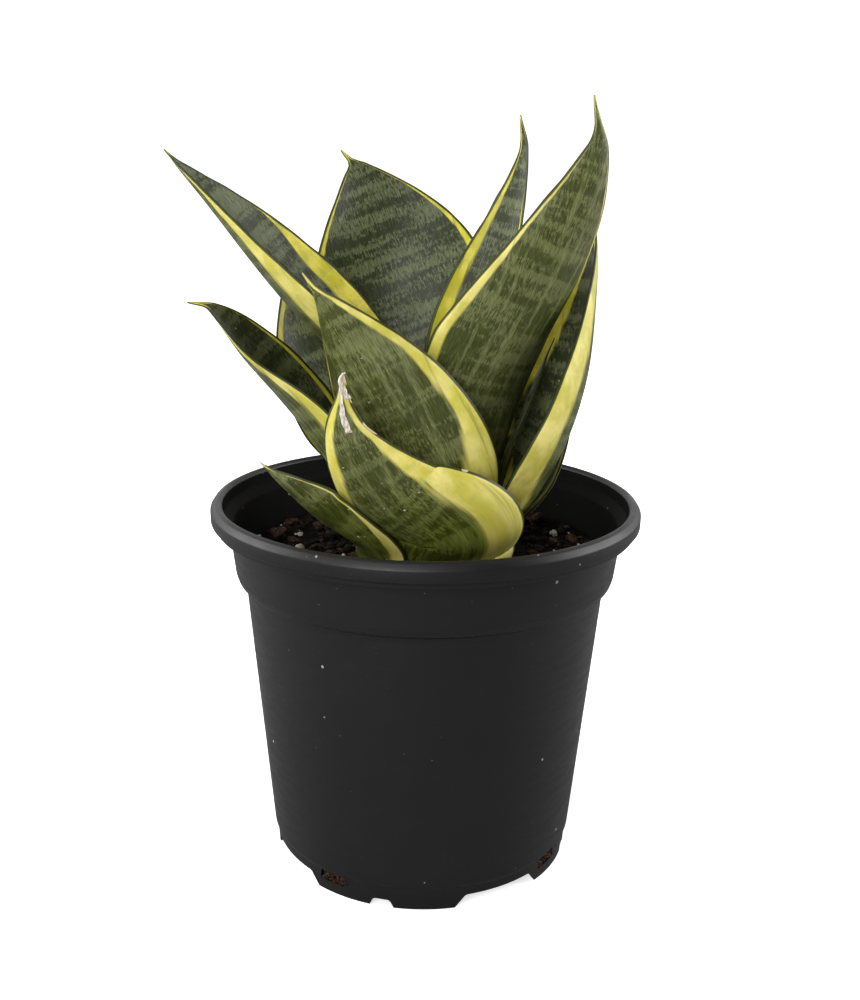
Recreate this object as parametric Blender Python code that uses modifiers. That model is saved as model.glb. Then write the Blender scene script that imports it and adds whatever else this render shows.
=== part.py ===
"""Bird's-nest snake plant in a black nursery pot.

A rosette of thirteen broad, channelled leaves stands in potting mix, in a thin moulded plastic pot
with a rolled rim, a stepped shoulder and a cut-away foot ring.  Frame: +Z up, the origin on the
ground under the middle of the whole plant's box, -Y towards the front.  The leaves lean further
to the left than the rim, so the pot's axis stands a little to the right of the origin.  Lengths
in the tables are millimetres from the pot's axis, and turn into metres where a mesh is made.
"""
from math import cos, pi, radians, sin
import random

import bmesh
import bpy
from mathutils import Matrix, Vector
from mathutils.bvhtree import BVHTree

MM = 0.001
OBJECT_NAME = "potted_snake_plant"
POT_AXIS_X = 6.3           # from the origin to the pot's axis

# --- Pot: a six-inch class nursery pot ---------------------------------------------------------
POT_HEIGHT = 138.0
RIM_RADIUS = 79.0
RIM_FOOT_Z = 131.2         # lower edge of the rolled rim
STEP_FOOT_Z = 128.2        # small step under the rim
LEDGE_Z = 131.6            # ledge inside the rim
LEDGE_WIDTH = 1.9
LIP_RADIUS = 74.7          # inner edge of the rolled rim
BAND_RADIUS = 72.2         # upper band, just under the rim
BAND_FOOT_RADIUS = 70.4    # upper band, at the shoulder
SHOULDER_Z = 109.0
SHOULDER_DROP = 1.6
WALL_TOP_RADIUS = 66.8     # straight wall, just under the shoulder
BASE_STEP_Z = 9.4
BASE_RADIUS = 57.9         # straight wall, at the base step
FOOT_RADIUS = 57.0
FOOT_TAPER = 0.6
WALL = 1.4
FLOOR_UNDERSIDE_Z = 5.5
FLOOR_TOP_Z = 7.2
FLOOR_CORNER = 4.0         # how far the floor's inner corner is cut off
POT_STEPS = 56
FOOT_PAIRS = 4             # pairs of foot pads round the ring
FIRST_PAIR_AZIMUTH = -104.0
PAIR_HALF_ANGLE = 27.0
FOOT_GAP_TOP_Z = FLOOR_UNDERSIDE_Z - 0.4
FOOT_GAP_SLANT = 4.0       # degrees that each side of a gap leans in by
NOTCH_FOOT_WIDTH = 11.0
NOTCH_TOP_WIDTH = 6.0
NOTCH_HEIGHT = 3.2
DRAIN_OFFSET_ANGLE = -20.0
DRAIN_WIDTH = 12.0
DRAIN_TOP_WIDTH = 10.0
DRAIN_LOW_Z = 4.4
DRAIN_HIGH_Z = 8.6
CUTTER_REACH = 16.0        # how far a cutter runs along the pot's radius
CUTTER_LOW_Z = -2.0        # cutters start below the ground

# --- Potting mix -------------------------------------------------------------------------------
SOIL_Z = 116.0
SOIL_GAP = 0.5             # between the mix and the pot
SOIL_RADIUS = BAND_FOOT_RADIUS - WALL - SOIL_GAP
SOIL_BUMP = 0.9
SOIL_FLAT_RADIUS = 30.0    # level ground round the crown, under the leaf bases
SOIL_FADE = 12.0
SOIL_EDGE_FADE = 6.0
SOIL_RINGS = 7
SOIL_STEPS = 36

# --- Rosette -----------------------------------------------------------------------------------
CROWN = Vector((8.0, 0.0, 0.0))
LEAF_BASE_Z = SOIL_Z + 1.4
SHEATH_TOP_Z = 121.0       # the short upright sheath at the bottom of each leaf
SHEATH_LEAN = 0.6
LEAF_THICKNESS = 1.4
ALONG = 18                 # rows of faces from base to tip
ACROSS = 6                 # columns of faces from margin to margin
TIP_THREAD = 3.0           # width of the drawn-out tip where it starts
TIP_END = 0.6

# --- How the leaves nest -----------------------------------------------------------------------
NEST_GAP = 3.6             # least radial distance between the middles of two nested leaves
NEST_REACH = 6.0
NEST_PASSES = 4
NEST_MARGIN = 2.5          # room kept past each margin of the inner leaf

# One row a leaf, from the heart of the rosette outwards: where it leaves the crown (radius and
# heading in degrees), the points its midrib passes through, its greatest width and where that
# is along the leaf, how quickly it narrows, the length of its thread-like tip, how far round its
# cross-section curls at base, middle and tip, and how far it rolls about its midrib there.
LEAVES = {
    "leaf_back_slender": dict(
        radius=4.5, heading=60, midrib=[(15, 16, 194), (29, 24, 239), (34, 27, 262), (32, 26, 274)],
        width=33, widest=0.40, taper=1.6, tip=10, curl=(100, 92, 60), roll=(0, -10, 10)),
    "leaf_left_long": dict(
        radius=5, heading=190, midrib=[(-21, 4, 176), (-53, 0, 213), (-77, -4, 244), (-91, -4, 260)],
        width=64, widest=0.58, taper=1.7, tip=5, curl=(100, 120, 80), roll=(5, 12, 14)),
    "leaf_right_tall": dict(
        radius=8, heading=-60, midrib=[(21, -14, 174), (43, -20, 224), (55, -20, 262), (53, -17, 279)],
        width=61, widest=0.46, taper=1.25, tip=12, curl=(105, 95, 55), roll=(0, -8, 8)),
    "leaf_back_broad": dict(
        radius=9, heading=100, midrib=[(0, 33, 178), (-16, 46, 222), (-29, 52, 254), (-35, 53, 261)],
        width=70, widest=0.60, taper=2.1, tip=8, curl=(90, 70, 40), roll=(0, 20, -20)),
    "leaf_heart_strip": dict(
        radius=11, heading=10, midrib=[(29, 4, 150), (39, 6, 176), (45, 8, 196)],
        width=14, widest=0.40, taper=1.6, tip=8, curl=(40, 90, 90), roll=(0, 0, 0)),
    "leaf_front_middle": dict(
        radius=12, heading=-110, midrib=[(-1, -27, 149), (-14, -33, 177), (-32, -35, 209), (-41, -35, 222)],
        width=58, widest=0.36, taper=1.9, tip=8, curl=(110, 90, 55), roll=(0, -5, 15)),
    "leaf_right_channel": dict(
        radius=15, heading=0, midrib=[(40, 0, 140), (55, 2, 180), (59, 8, 216), (60, 16, 240)],
        width=76, widest=0.38, taper=1.2, tip=10, curl=(100, 130, 85), roll=(8, -10, -15)),
    "leaf_back_left": dict(
        radius=15, heading=128, midrib=[(-28, 35, 147), (-46, 41, 179), (-55, 44, 204), (-58, 45, 215)],
        width=53, widest=0.50, taper=1.8, tip=8, curl=(80, 90, 60), roll=(0, 0, 0)),
    "leaf_left_middle": dict(
        radius=16.5, heading=202,
        midrib=[(-25, -14, 138), (-39, -16, 162), (-62, -17, 192), (-74, -19, 208), (-82, -19, 210)],
        width=61, widest=0.52, taper=1.75, tip=8, curl=(60, 95, 60), roll=(0, 12, 32)),
    "leaf_back_low": dict(
        radius=19, heading=88, midrib=[(13, 38, 140), (17, 52, 168), (21, 59, 192)],
        width=44, widest=0.40, taper=1.9, tip=8, curl=(70, 80, 60), roll=(0, 0, 0)),
    "leaf_front_wide": dict(
        radius=29, heading=-101,
        midrib=[(4, -37, 131), (-13, -43, 147), (-26, -48, 170), (-27, -50, 192)],
        width=70, widest=0.10, taper=1.1, tip=6, curl=(128, 85, 60), roll=(0, 0, 0)),
    "leaf_right_back_low": dict(
        radius=21, heading=30, midrib=[(42, 22, 138), (52, 32, 160), (57, 36, 178)],
        width=40, widest=0.40, taper=1.9, tip=8, curl=(60, 80, 60), roll=(0, 0, 0)),
    "leaf_front_low": dict(
        radius=33.5, heading=215,
        midrib=[(-23, -25, 127), (-35, -32, 138), (-46, -36, 149), (-56, -37, 159)],
        width=35, widest=0.30, taper=2.1, tip=4, curl=(56, 125, 110), roll=(0, -12, -5)),
}

# --- Loose bits on the mix: azimuth, radius from the pot's axis, and size ------------------------
BARK_CHIPS = [(168, 58, 7.0), (178, 50, 5.0), (196, 55, 6.0), (152, 61, 5.5), (14, 59, 5.0),
              (40, 58, 6.5), (66, 60, 5.0), (112, 60, 6.0), (-20, 58, 5.5), (-75, 60, 6.0)]
PERLITE_GRAINS = [(186, 47, 3.6), (161, 52, 3.2), (24, 55, 3.4), (-5, 57, 3.0), (88, 63, 3.4),
                  (132, 58, 3.2)]
CHIP_FLATNESS = 0.55
CHIP_GAP = 0.4


def clear_scene():
    """Take away whatever the start-up file holds."""
    for obj in list(bpy.data.objects):
        bpy.data.objects.remove(obj, do_unlink=True)


def new_collection(name):
    collection = bpy.data.collections.new(name)
    bpy.context.scene.collection.children.link(collection)
    return collection


def principled(name, colour, roughness):
    """A plain finish: colour and roughness, no metal in any part of this object."""
    material = bpy.data.materials.new(name)
    material.use_nodes = True
    shader = material.node_tree.nodes["Principled BSDF"]
    shader.inputs["Base Color"].default_value = (*colour, 1.0)
    shader.inputs["Roughness"].default_value = roughness
    shader.inputs["Metallic"].default_value = 0.0
    return material


def add_object(name, bm, collection, material=None):
    """Turn a bmesh, in millimetres from the pot's axis, into a named object in metres."""
    bmesh.ops.scale(bm, vec=(MM, MM, MM), verts=bm.verts)
    mesh = bpy.data.meshes.new(name)
    bm.to_mesh(mesh)
    bm.free()
    obj = bpy.data.objects.new(name, mesh)
    obj.location.x = POT_AXIS_X * MM
    collection.objects.link(obj)
    if material:
        mesh.materials.append(material)
    return obj


def smooth(obj, angle=40.0):
    obj.data.shade_smooth()
    obj.data.set_sharp_from_angle(angle=radians(angle))


# --- Pot -----------------------------------------------------------------------------------------
def pot_profile():
    """Half section of the pot: up the inside, over the rim and down the outside."""
    foot_outer = FOOT_RADIUS - FOOT_TAPER
    return [
        (0.0, FLOOR_TOP_Z),
        (BASE_RADIUS - WALL - FLOOR_CORNER, FLOOR_TOP_Z),
        (BASE_RADIUS - WALL, FLOOR_TOP_Z + 3.0),
        (WALL_TOP_RADIUS - WALL, SHOULDER_Z - SHOULDER_DROP),
        (BAND_FOOT_RADIUS - WALL - 0.6, SHOULDER_Z + 0.8),
        (BAND_FOOT_RADIUS - WALL, SHOULDER_Z + 3.0),
        (BAND_RADIUS - WALL, LEDGE_Z - 2.1),
        (LIP_RADIUS - LEDGE_WIDTH, LEDGE_Z),
        (LIP_RADIUS - 0.4, LEDGE_Z + 1.0),
        (LIP_RADIUS, POT_HEIGHT - 1.5),
        (LIP_RADIUS + 0.8, POT_HEIGHT - 0.3),
        (LIP_RADIUS + 2.0, POT_HEIGHT),
        (RIM_RADIUS - 1.3, POT_HEIGHT - 0.6),
        (RIM_RADIUS - 0.2, POT_HEIGHT - 2.0),
        (RIM_RADIUS, POT_HEIGHT - 4.0),
        (RIM_RADIUS - 0.4, RIM_FOOT_Z),
        (RIM_RADIUS - 1.6, RIM_FOOT_Z - 0.8),
        (RIM_RADIUS - 1.8, STEP_FOOT_Z + 1.0),
        (RIM_RADIUS - 3.0, STEP_FOOT_Z + 0.4),
        (BAND_RADIUS + 0.6, STEP_FOOT_Z),
        (BAND_RADIUS, STEP_FOOT_Z - 1.2),
        (BAND_FOOT_RADIUS, SHOULDER_Z + 3.6),
        (BAND_FOOT_RADIUS - 0.7, SHOULDER_Z + 1.0),
        (WALL_TOP_RADIUS + 1.5, SHOULDER_Z - 0.4),
        (WALL_TOP_RADIUS, SHOULDER_Z - SHOULDER_DROP),
        (BASE_RADIUS, BASE_STEP_Z + 0.6),
        (BASE_RADIUS - 0.5, BASE_STEP_Z - 0.4),
        (FOOT_RADIUS, BASE_STEP_Z - 1.0),
        (foot_outer, 0.0),
        (foot_outer - WALL, 0.0),
        (foot_outer - WALL - 0.3, FLOOR_UNDERSIDE_Z),
        (0.0, FLOOR_UNDERSIDE_Z),
    ]


def make_pot(parts, cutters, material):
    """Turn the section once round the axis, then cut the foot ring and the drain holes."""
    bm = bmesh.new()
    points = [bm.verts.new((radius, 0.0, z)) for radius, z in pot_profile()]
    for first, second in zip(points, points[1:]):
        bm.edges.new((first, second))
    pot = add_object("pot", bm, parts, material)
    screw = pot.modifiers.new("turn", "SCREW")
    screw.axis = "Z"
    screw.steps = POT_STEPS
    screw.render_steps = POT_STEPS
    screw.use_merge_vertices = True
    screw.merge_threshold = 0.00005
    for cutter in foot_cutters(cutters):
        cut = pot.modifiers.new(cutter.name, "BOOLEAN")
        cut.operation = "DIFFERENCE"
        cut.solver = "EXACT"
        cut.object = cutter
    smooth(pot)
    return pot


def wedge_cutter(name, collection, azimuth, low_z, high_z, low_width, high_width):
    """A block across the foot ring that points outwards, with a trapezium for a front face."""
    bm = bmesh.new()
    bmesh.ops.create_cube(bm, size=1.0)
    for vert in bm.verts:
        at_top = vert.co.z > 0
        vert.co.x *= CUTTER_REACH
        vert.co.y *= high_width if at_top else low_width
        vert.co.z = high_z if at_top else low_z
    bmesh.ops.translate(bm, vec=(FOOT_RADIUS, 0.0, 0.0), verts=bm.verts)
    bmesh.ops.rotate(bm, matrix=Matrix.Rotation(radians(azimuth), 3, "Z"), verts=bm.verts)
    cutter = add_object(name, bm, collection)
    cutter.hide_render = True
    cutter.display_type = "WIRE"
    return cutter


def foot_cutters(collection):
    """Wide gaps between the pairs of pads, a notch within each pair and a drain hole by it."""
    period = 360.0 / FOOT_PAIRS
    gap_half_angle = period / 2 - PAIR_HALF_ANGLE
    gap_foot = 2 * FOOT_RADIUS * sin(radians(gap_half_angle))
    gap_top = 2 * FOOT_RADIUS * sin(radians(gap_half_angle - FOOT_GAP_SLANT))
    # The sides keep their slant below the ground, down to the cutter's own foot.
    gap_low = gap_foot + (gap_top - gap_foot) * CUTTER_LOW_Z / FOOT_GAP_TOP_Z
    shapes = [
        ("foot_gap", period / 2, CUTTER_LOW_Z, FOOT_GAP_TOP_Z, gap_low, gap_top),
        ("foot_notch", 0.0, CUTTER_LOW_Z, NOTCH_HEIGHT, NOTCH_FOOT_WIDTH, NOTCH_TOP_WIDTH),
        ("drain", DRAIN_OFFSET_ANGLE, DRAIN_LOW_Z, DRAIN_HIGH_Z, DRAIN_WIDTH, DRAIN_TOP_WIDTH),
    ]
    cutters = []
    for index in range(FOOT_PAIRS):
        pair_azimuth = FIRST_PAIR_AZIMUTH + index * period
        for name, turn, low_z, high_z, low_width, high_width in shapes:
            cutters.append(wedge_cutter(f"{name}_{index + 1}", collection, pair_azimuth + turn,
                                        low_z, high_z, low_width, high_width))
    return cutters


# --- Potting mix ---------------------------------------------------------------------------------
def soil_height(x, y):
    """Gentle, uneven top of the mix; level under the rosette and at the pot's wall."""
    waves = sin(0.13 * x + 1.0) * cos(0.11 * y) + 0.6 * sin(0.21 * y - 0.17 * x)
    radius = (x * x + y * y) ** 0.5
    crown_distance = (Vector((x, y, 0.0)) - CROWN).length
    fade = min(1.0, max(0.0, (crown_distance - SOIL_FLAT_RADIUS) / SOIL_FADE))
    edge_fade = min(1.0, (SOIL_RADIUS - radius) / SOIL_EDGE_FADE)
    return SOIL_Z + SOIL_BUMP * waves * fade * edge_fade


def make_soil(parts, material):
    """Root ball: a turned block that follows the inside of the pot, with an uneven top."""
    inner = WALL + SOIL_GAP
    bm = bmesh.new()
    section = [(SOIL_RADIUS * step / SOIL_RINGS, SOIL_Z) for step in range(SOIL_RINGS + 1)]
    section += [
        (SOIL_RADIUS, SHOULDER_Z + 3.2),
        (SOIL_RADIUS - 1.2, SHOULDER_Z + 1.4),
        (WALL_TOP_RADIUS - inner, SHOULDER_Z - SHOULDER_DROP + 0.2),
        (BASE_RADIUS - inner, FLOOR_TOP_Z + 3.4),
        (BASE_RADIUS - inner - FLOOR_CORNER, FLOOR_TOP_Z + SOIL_GAP),
        (0.0, FLOOR_TOP_Z + SOIL_GAP),
    ]
    verts = [bm.verts.new((radius, 0.0, z)) for radius, z in section]
    edges = [bm.edges.new(pair) for pair in zip(verts, verts[1:])]
    bmesh.ops.spin(bm, geom=verts + edges, cent=(0, 0, 0), axis=(0, 0, 1), angle=2 * pi,
                   steps=SOIL_STEPS, use_merge=True)
    bmesh.ops.remove_doubles(bm, verts=bm.verts, dist=0.01)
    bmesh.ops.recalc_face_normals(bm, faces=bm.faces)
    for vert in bm.verts:
        if abs(vert.co.z - SOIL_Z) < 0.01:
            vert.co.z = soil_height(vert.co.x, vert.co.y)
    soil = add_object("potting_mix", bm, parts, material)
    smooth(soil)
    return soil


def make_loose_bit(name, parts, material, azimuth, radius, size, seed):
    """A flattened, knobbly grain that lies on the mix."""
    rng = random.Random(seed)
    bm = bmesh.new()
    bmesh.ops.create_icosphere(bm, subdivisions=1, radius=size / 2)
    for vert in bm.verts:
        vert.co *= rng.uniform(0.82, 1.12)
        vert.co.z *= CHIP_FLATNESS
    bmesh.ops.rotate(bm, matrix=Matrix.Rotation(rng.uniform(0, pi), 3, "Z"), verts=bm.verts)
    x = radius * cos(radians(azimuth))
    y = radius * sin(radians(azimuth))
    # The bit clears the highest ground under its own footprint.
    ground = max(soil_height(x + dx * size / 2, y + dy * size / 2)
                 for dx in (-1, 0, 1) for dy in (-1, 0, 1))
    lift = ground + CHIP_GAP - min(vert.co.z for vert in bm.verts)
    bmesh.ops.translate(bm, vec=(x, y, lift), verts=bm.verts)
    obj = add_object(name, bm, parts, material)
    smooth(obj, 60.0)
    return obj


# --- Leaves --------------------------------------------------------------------------------------
def along_midrib(points, t):
    """Point at t, from 0 to 1, on a smooth curve through the midrib's points."""
    lengths = [0.0]
    for first, second in zip(points, points[1:]):
        lengths.append(lengths[-1] + (second - first).length)
    knots = [length / lengths[-1] for length in lengths]
    last = len(points) - 1
    index = max(i for i in range(last) if knots[i] <= t)

    def slope(i):
        before = max(i - 1, 0)
        after = min(i + 1, last)
        return (points[after] - points[before]) / (knots[after] - knots[before])

    span = knots[index + 1] - knots[index]
    s = (t - knots[index]) / span
    return ((2 * s ** 3 - 3 * s ** 2 + 1) * points[index]
            + (s ** 3 - 2 * s ** 2 + s) * span * slope(index)
            + (3 * s ** 2 - 2 * s ** 3) * points[index + 1]
            + (s ** 3 - s ** 2) * span * slope(index + 1))


def blend(values, t):
    """Ease from the base value through the middle value to the tip value."""
    base, middle, tip = values
    start, end, s = (base, middle, 2 * t) if t < 0.5 else (middle, tip, 2 * t - 1)
    return start + (end - start) * s * s * (3 - 2 * s)


def leaf_width(leaf, foot, length, t):
    """Width across the leaf: swelling from the foot, then narrowing into a drawn-out tip."""
    widest = leaf["widest"]
    if t <= widest:
        return foot + (leaf["width"] - foot) * sin(pi / 2 * t / widest)
    thread = leaf["tip"] / length
    blade_end = 1 - 0.6 * thread
    s = min(1.0, (t - widest) / (blade_end - widest))
    blade = leaf["width"] * (1 - s ** leaf["taper"])
    tip = TIP_THREAD * min(1.0, (1 - t) / thread) + TIP_END
    return (blade ** 4 + tip ** 4) ** 0.25


def leaf_rows(leaf):
    """Rows of points over the leaf, base to tip, each from the right margin to the left one."""
    heading = radians(leaf["heading"])
    outwards = Vector((cos(heading), sin(heading), 0.0))
    sideways = Vector((-sin(heading), cos(heading), 0.0))
    foot = CROWN + outwards * leaf["radius"] + Vector((0, 0, LEAF_BASE_Z))
    sheath = CROWN + outwards * (leaf["radius"] + SHEATH_LEAN) + Vector((0, 0, SHEATH_TOP_Z))
    points = [foot, sheath] + [Vector(point) for point in leaf["midrib"]]
    middle = [along_midrib(points, row / ALONG) for row in range(ALONG + 1)]
    length = sum((b - a).length for a, b in zip(middle, middle[1:]))
    foot_width = leaf["radius"] * radians(leaf["curl"][0])
    rows = []
    for row, centre in enumerate(middle):
        t = row / ALONG
        tangent = (middle[min(row + 1, ALONG)] - middle[max(row - 1, 0)]).normalized()
        facing = tangent.cross(sideways).normalized()
        side = facing.cross(tangent)
        roll = radians(blend(leaf["roll"], t))
        facing, side = (facing * cos(roll) + side * sin(roll), side * cos(roll) - facing * sin(roll))
        curl = radians(blend(leaf["curl"], t))
        bend = leaf_width(leaf, foot_width, length, t) / curl
        angles = [curl * (column / ACROSS - 0.5) for column in range(ACROSS + 1)]
        rows.append([centre + side * bend * sin(a) + facing * bend * (1 - cos(a)) for a in angles])
    return rows


def widened(rows):
    """The same rows with a little more leaf past each margin."""
    wide = []
    for row in rows:
        right = row[0] + (row[0] - row[1]).normalized() * NEST_MARGIN
        left = row[-1] + (row[-1] - row[-2]).normalized() * NEST_MARGIN
        wide.append([right] + row + [left])
    return wide


def surface_tree(sheets):
    """One search tree over all the leaves that are already in place."""
    points = []
    faces = []
    for rows in sheets:
        first = len(points)
        columns = len(rows[0])
        for row in rows:
            points.extend(row)
        for i in range(len(rows) - 1):
            for j in range(columns - 1):
                corner = first + i * columns + j
                faces.append((corner, corner + 1, corner + columns + 1))
                faces.append((corner, corner + columns + 1, corner + columns))
    return BVHTree.FromPolygons(points, faces, all_triangles=True)


def push_needed(tree, point):
    """How far a point has to move away from the crown's axis to clear the leaves inside it."""
    axis_point = Vector((CROWN.x, CROWN.y, point.z))
    outwards = point - axis_point
    radius = outwards.length
    outwards.normalize()
    start = axis_point + outwards * (radius + NEST_REACH)
    _, _, _, distance = tree.ray_cast(start, -outwards, radius + NEST_REACH)
    if distance is None:
        return 0.0
    return max(0.0, NEST_REACH - distance + NEST_GAP)


def spread(push):
    """Pass part of each push on to its neighbours, so the leaf bends and doesn't dent."""
    rows, columns = len(push), len(push[0])

    def at(i, j):
        return push[min(max(i, 0), rows - 1)][min(max(j, 0), columns - 1)]

    return [[max(push[i][j], (2 * at(i, j) + at(i - 1, j) + at(i + 1, j)
                              + at(i, j - 1) + at(i, j + 1)) / 6)
             for j in range(columns)] for i in range(rows)]


def nest(rows, sheets):
    """Press a leaf outwards until it lies clear of the younger leaves that it wraps."""
    if not sheets:
        return rows
    tree = surface_tree(sheets)
    for _ in range(NEST_PASSES):
        push = [[push_needed(tree, point) for point in row] for row in rows]
        if max(max(row) for row in push) < 0.01:
            break
        push = spread(spread(push))
        for i, row in enumerate(rows):
            for j, point in enumerate(row):
                outwards = Vector((point.x - CROWN.x, point.y - CROWN.y, 0.0)).normalized()
                rows[i][j] = point + outwards * push[i][j]
    return rows


def make_leaf(name, rows, parts, material):
    """Lay a flat grid over the leaf's rows and give it the thickness of a fleshy leaf."""
    bm = bmesh.new()
    bmesh.ops.create_grid(bm, x_segments=ACROSS, y_segments=ALONG, size=0.5)
    for vert in bm.verts:
        column = round((vert.co.x + 0.5) * ACROSS)
        row = round((vert.co.y + 0.5) * ALONG)
        vert.co = rows[row][column]
    leaf = add_object(name, bm, parts, material)
    solidify = leaf.modifiers.new("thickness", "SOLIDIFY")
    solidify.thickness = LEAF_THICKNESS * MM
    solidify.offset = 0.0
    smooth(leaf, 60.0)
    return leaf


def main():
    clear_scene()
    parts = new_collection(OBJECT_NAME)
    cutters = new_collection("cutters")
    plastic = principled("pot_plastic", (0.020, 0.020, 0.022), 0.45)
    mix = principled("potting_mix", (0.018, 0.012, 0.008), 0.95)
    bark = principled("bark", (0.16, 0.07, 0.035), 0.9)
    perlite = principled("perlite", (0.75, 0.73, 0.68), 0.9)
    green = principled("leaf_green", (0.10, 0.14, 0.06), 0.4)

    make_pot(parts, cutters, plastic)
    make_soil(parts, mix)
    sheets = []
    for name, leaf in LEAVES.items():
        rows = nest(leaf_rows(leaf), sheets)
        sheets.append(widened(rows))
        make_leaf(name, rows, parts, green)
    for index, (azimuth, radius, size) in enumerate(BARK_CHIPS):
        make_loose_bit(f"bark_chip_{index + 1}", parts, bark, azimuth, radius, size, seed=index)
    for index, (azimuth, radius, size) in enumerate(PERLITE_GRAINS):
        make_loose_bit(f"perlite_grain_{index + 1}", parts, perlite, azimuth, radius, size,
                       seed=100 + index)


main()
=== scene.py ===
# %% [markdown]
# # A bird's-nest snake plant in a black nursery pot
#
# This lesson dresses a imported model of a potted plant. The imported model, called the frame, fixes
# where everything stands: the pot, the potting mix, thirteen leaves and a few loose bits of bark
# and perlite. Each of them gets a finer piece here, with a finish that has the detail of the real
# thing. The frame's own pieces stay hidden behind them.

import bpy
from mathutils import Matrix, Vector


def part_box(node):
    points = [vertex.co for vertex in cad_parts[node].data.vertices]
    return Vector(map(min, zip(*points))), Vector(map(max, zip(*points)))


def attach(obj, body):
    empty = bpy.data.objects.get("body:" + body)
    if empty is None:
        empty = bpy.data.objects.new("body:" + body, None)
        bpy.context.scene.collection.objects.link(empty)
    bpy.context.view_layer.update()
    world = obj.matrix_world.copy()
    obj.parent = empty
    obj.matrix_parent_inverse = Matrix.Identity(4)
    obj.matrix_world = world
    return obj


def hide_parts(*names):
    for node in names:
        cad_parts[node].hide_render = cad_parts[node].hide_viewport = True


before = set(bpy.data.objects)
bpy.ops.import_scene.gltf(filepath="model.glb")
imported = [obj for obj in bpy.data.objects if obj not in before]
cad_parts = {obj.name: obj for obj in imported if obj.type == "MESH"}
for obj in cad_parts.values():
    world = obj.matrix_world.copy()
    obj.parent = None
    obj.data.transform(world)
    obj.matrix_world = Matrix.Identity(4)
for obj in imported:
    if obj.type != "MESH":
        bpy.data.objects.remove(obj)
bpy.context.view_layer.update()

# %% Modules and units
import random
from math import cos, pi, radians, sin

import bmesh
import bpy
from mathutils import Matrix, Vector, noise
from mathutils.bvhtree import BVHTree

MM = 0.001
BODY = "root"
pot_low, pot_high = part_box("pot")
POT_AXIS = Vector(((pot_low.x + pot_high.x) / 2, (pot_low.y + pot_high.y) / 2, 0.0))
RIM_RADIUS = (pot_high.x - pot_low.x) / 2 / MM
POT_HEIGHT = pot_high.z / MM
FROM_POT_AXIS = Matrix.Translation(POT_AXIS) @ Matrix.Scale(MM, 4)
print(f"rim radius {RIM_RADIUS:.1f} mm, pot height {POT_HEIGHT:.1f} mm, axis at {POT_AXIS.x / MM:.1f} mm")

# %% [markdown]
# ## Camera
#
# The plant is seen from the front and a little above, at about arm's length. The camera is placed
# first, so that every later step can be judged in the picture. Its place is in millimetres from the
# pot's axis, and its tilts are in radians.

# %% Put data in the scene
def new_object(name, data):
    made = bpy.data.objects.new(name, data)
    bpy.context.scene.collection.objects.link(made)
    return made


def bmesh_object(name, bm):
    """Turn a finished bmesh into an object in the scene."""
    mesh = bpy.data.meshes.new(name)
    bm.to_mesh(mesh)
    bm.free()
    return new_object(name, mesh)


# %% Camera
CAMERA_PLACE = Vector((1.5, -429.2, 257.2))
CAMERA_PITCH = 0.2747
CAMERA_ROLL = 0.0156
camera_data = bpy.data.cameras.new("camera")
camera_data.sensor_width = 36.0
camera_data.lens = 43.2
camera = new_object("camera", camera_data)
camera.matrix_world = (Matrix.Translation(POT_AXIS + CAMERA_PLACE * MM)
                       @ Matrix.Rotation(pi / 2 - CAMERA_PITCH, 4, "X")
                       @ Matrix.Rotation(CAMERA_ROLL, 4, "Z"))
bpy.context.scene.camera = camera
print("camera at", [round(value, 3) for value in camera.matrix_world.translation])

# %% [markdown]
# ## Small helpers
#
# Lengths on this plant are easiest to think of in millimetres from the pot's axis, so each bmesh
# is built that way and turned into metres when it becomes an object. The object itself stays at
# the origin: its place is in its mesh, as it is for the frame's own pieces.

# %% From a bmesh to a piece
def make_piece(name, bm, materials, replaces=()):
    """Turn a bmesh in millimetres into a piece that rides on the plant's one body."""
    bmesh.ops.transform(bm, matrix=FROM_POT_AXIS, verts=bm.verts)
    piece = bmesh_object(name, bm)
    for material in materials:
        piece.data.materials.append(material)
    piece.data.shade_smooth()
    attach(piece, BODY)
    if replaces:
        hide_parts(*replaces)
    return piece


# %% Shader nodes in one line each
def add_node(tree, kind, inputs=(), **settings):
    """Add a node, set its properties, and fill its inputs with values or with other sockets."""
    made = tree.nodes.new(kind)
    for key, value in settings.items():
        setattr(made, key, value)
    for key, value in dict(inputs).items():
        if isinstance(value, bpy.types.NodeSocket):
            tree.links.new(value, made.inputs[key])
        else:
            made.inputs[key].default_value = value
    return made


def calculate(tree, operation, first, second=0.0, clamp=False):
    made = add_node(tree, "ShaderNodeMath", {0: first, 1: second}, operation=operation, use_clamp=clamp)
    return made.outputs[0]


def times(tree, first, second):
    return calculate(tree, "MULTIPLY", first, second)


def plus(tree, first, second, clamp=False):
    return calculate(tree, "ADD", first, second, clamp)


def minus(tree, first, second):
    return calculate(tree, "SUBTRACT", first, second)


def step_between(tree, value, low, high, start=0.0, end=1.0):
    """Ease from start to end while the value goes from low to high."""
    limits = {"Value": value, "From Min": low, "From Max": high, "To Min": start, "To Max": end}
    made = add_node(tree, "ShaderNodeMapRange", limits, interpolation_type="SMOOTHSTEP")
    return made.outputs["Result"]


def mix_colours(tree, factor, first, second, blending="MIX"):
    made = add_node(tree, "ShaderNodeMix", {0: factor, 6: first, 7: second}, data_type="RGBA",
                    blend_type=blending)
    return made.outputs[2]


def scaled(tree, vector, scale, offset=(0.0, 0.0, 0.0)):
    made = add_node(tree, "ShaderNodeMapping", {"Vector": vector, "Scale": scale, "Location": offset})
    return made.outputs["Vector"]


def cloud(tree, vector, scale, detail, roughness):
    """Soft noise from 0 to 1, mostly near 0.5."""
    made = add_node(tree, "ShaderNodeTexNoise", {"Vector": vector, "Scale": scale, "Detail": detail,
                                                 "Roughness": roughness})
    return made.outputs["Fac"]


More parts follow.
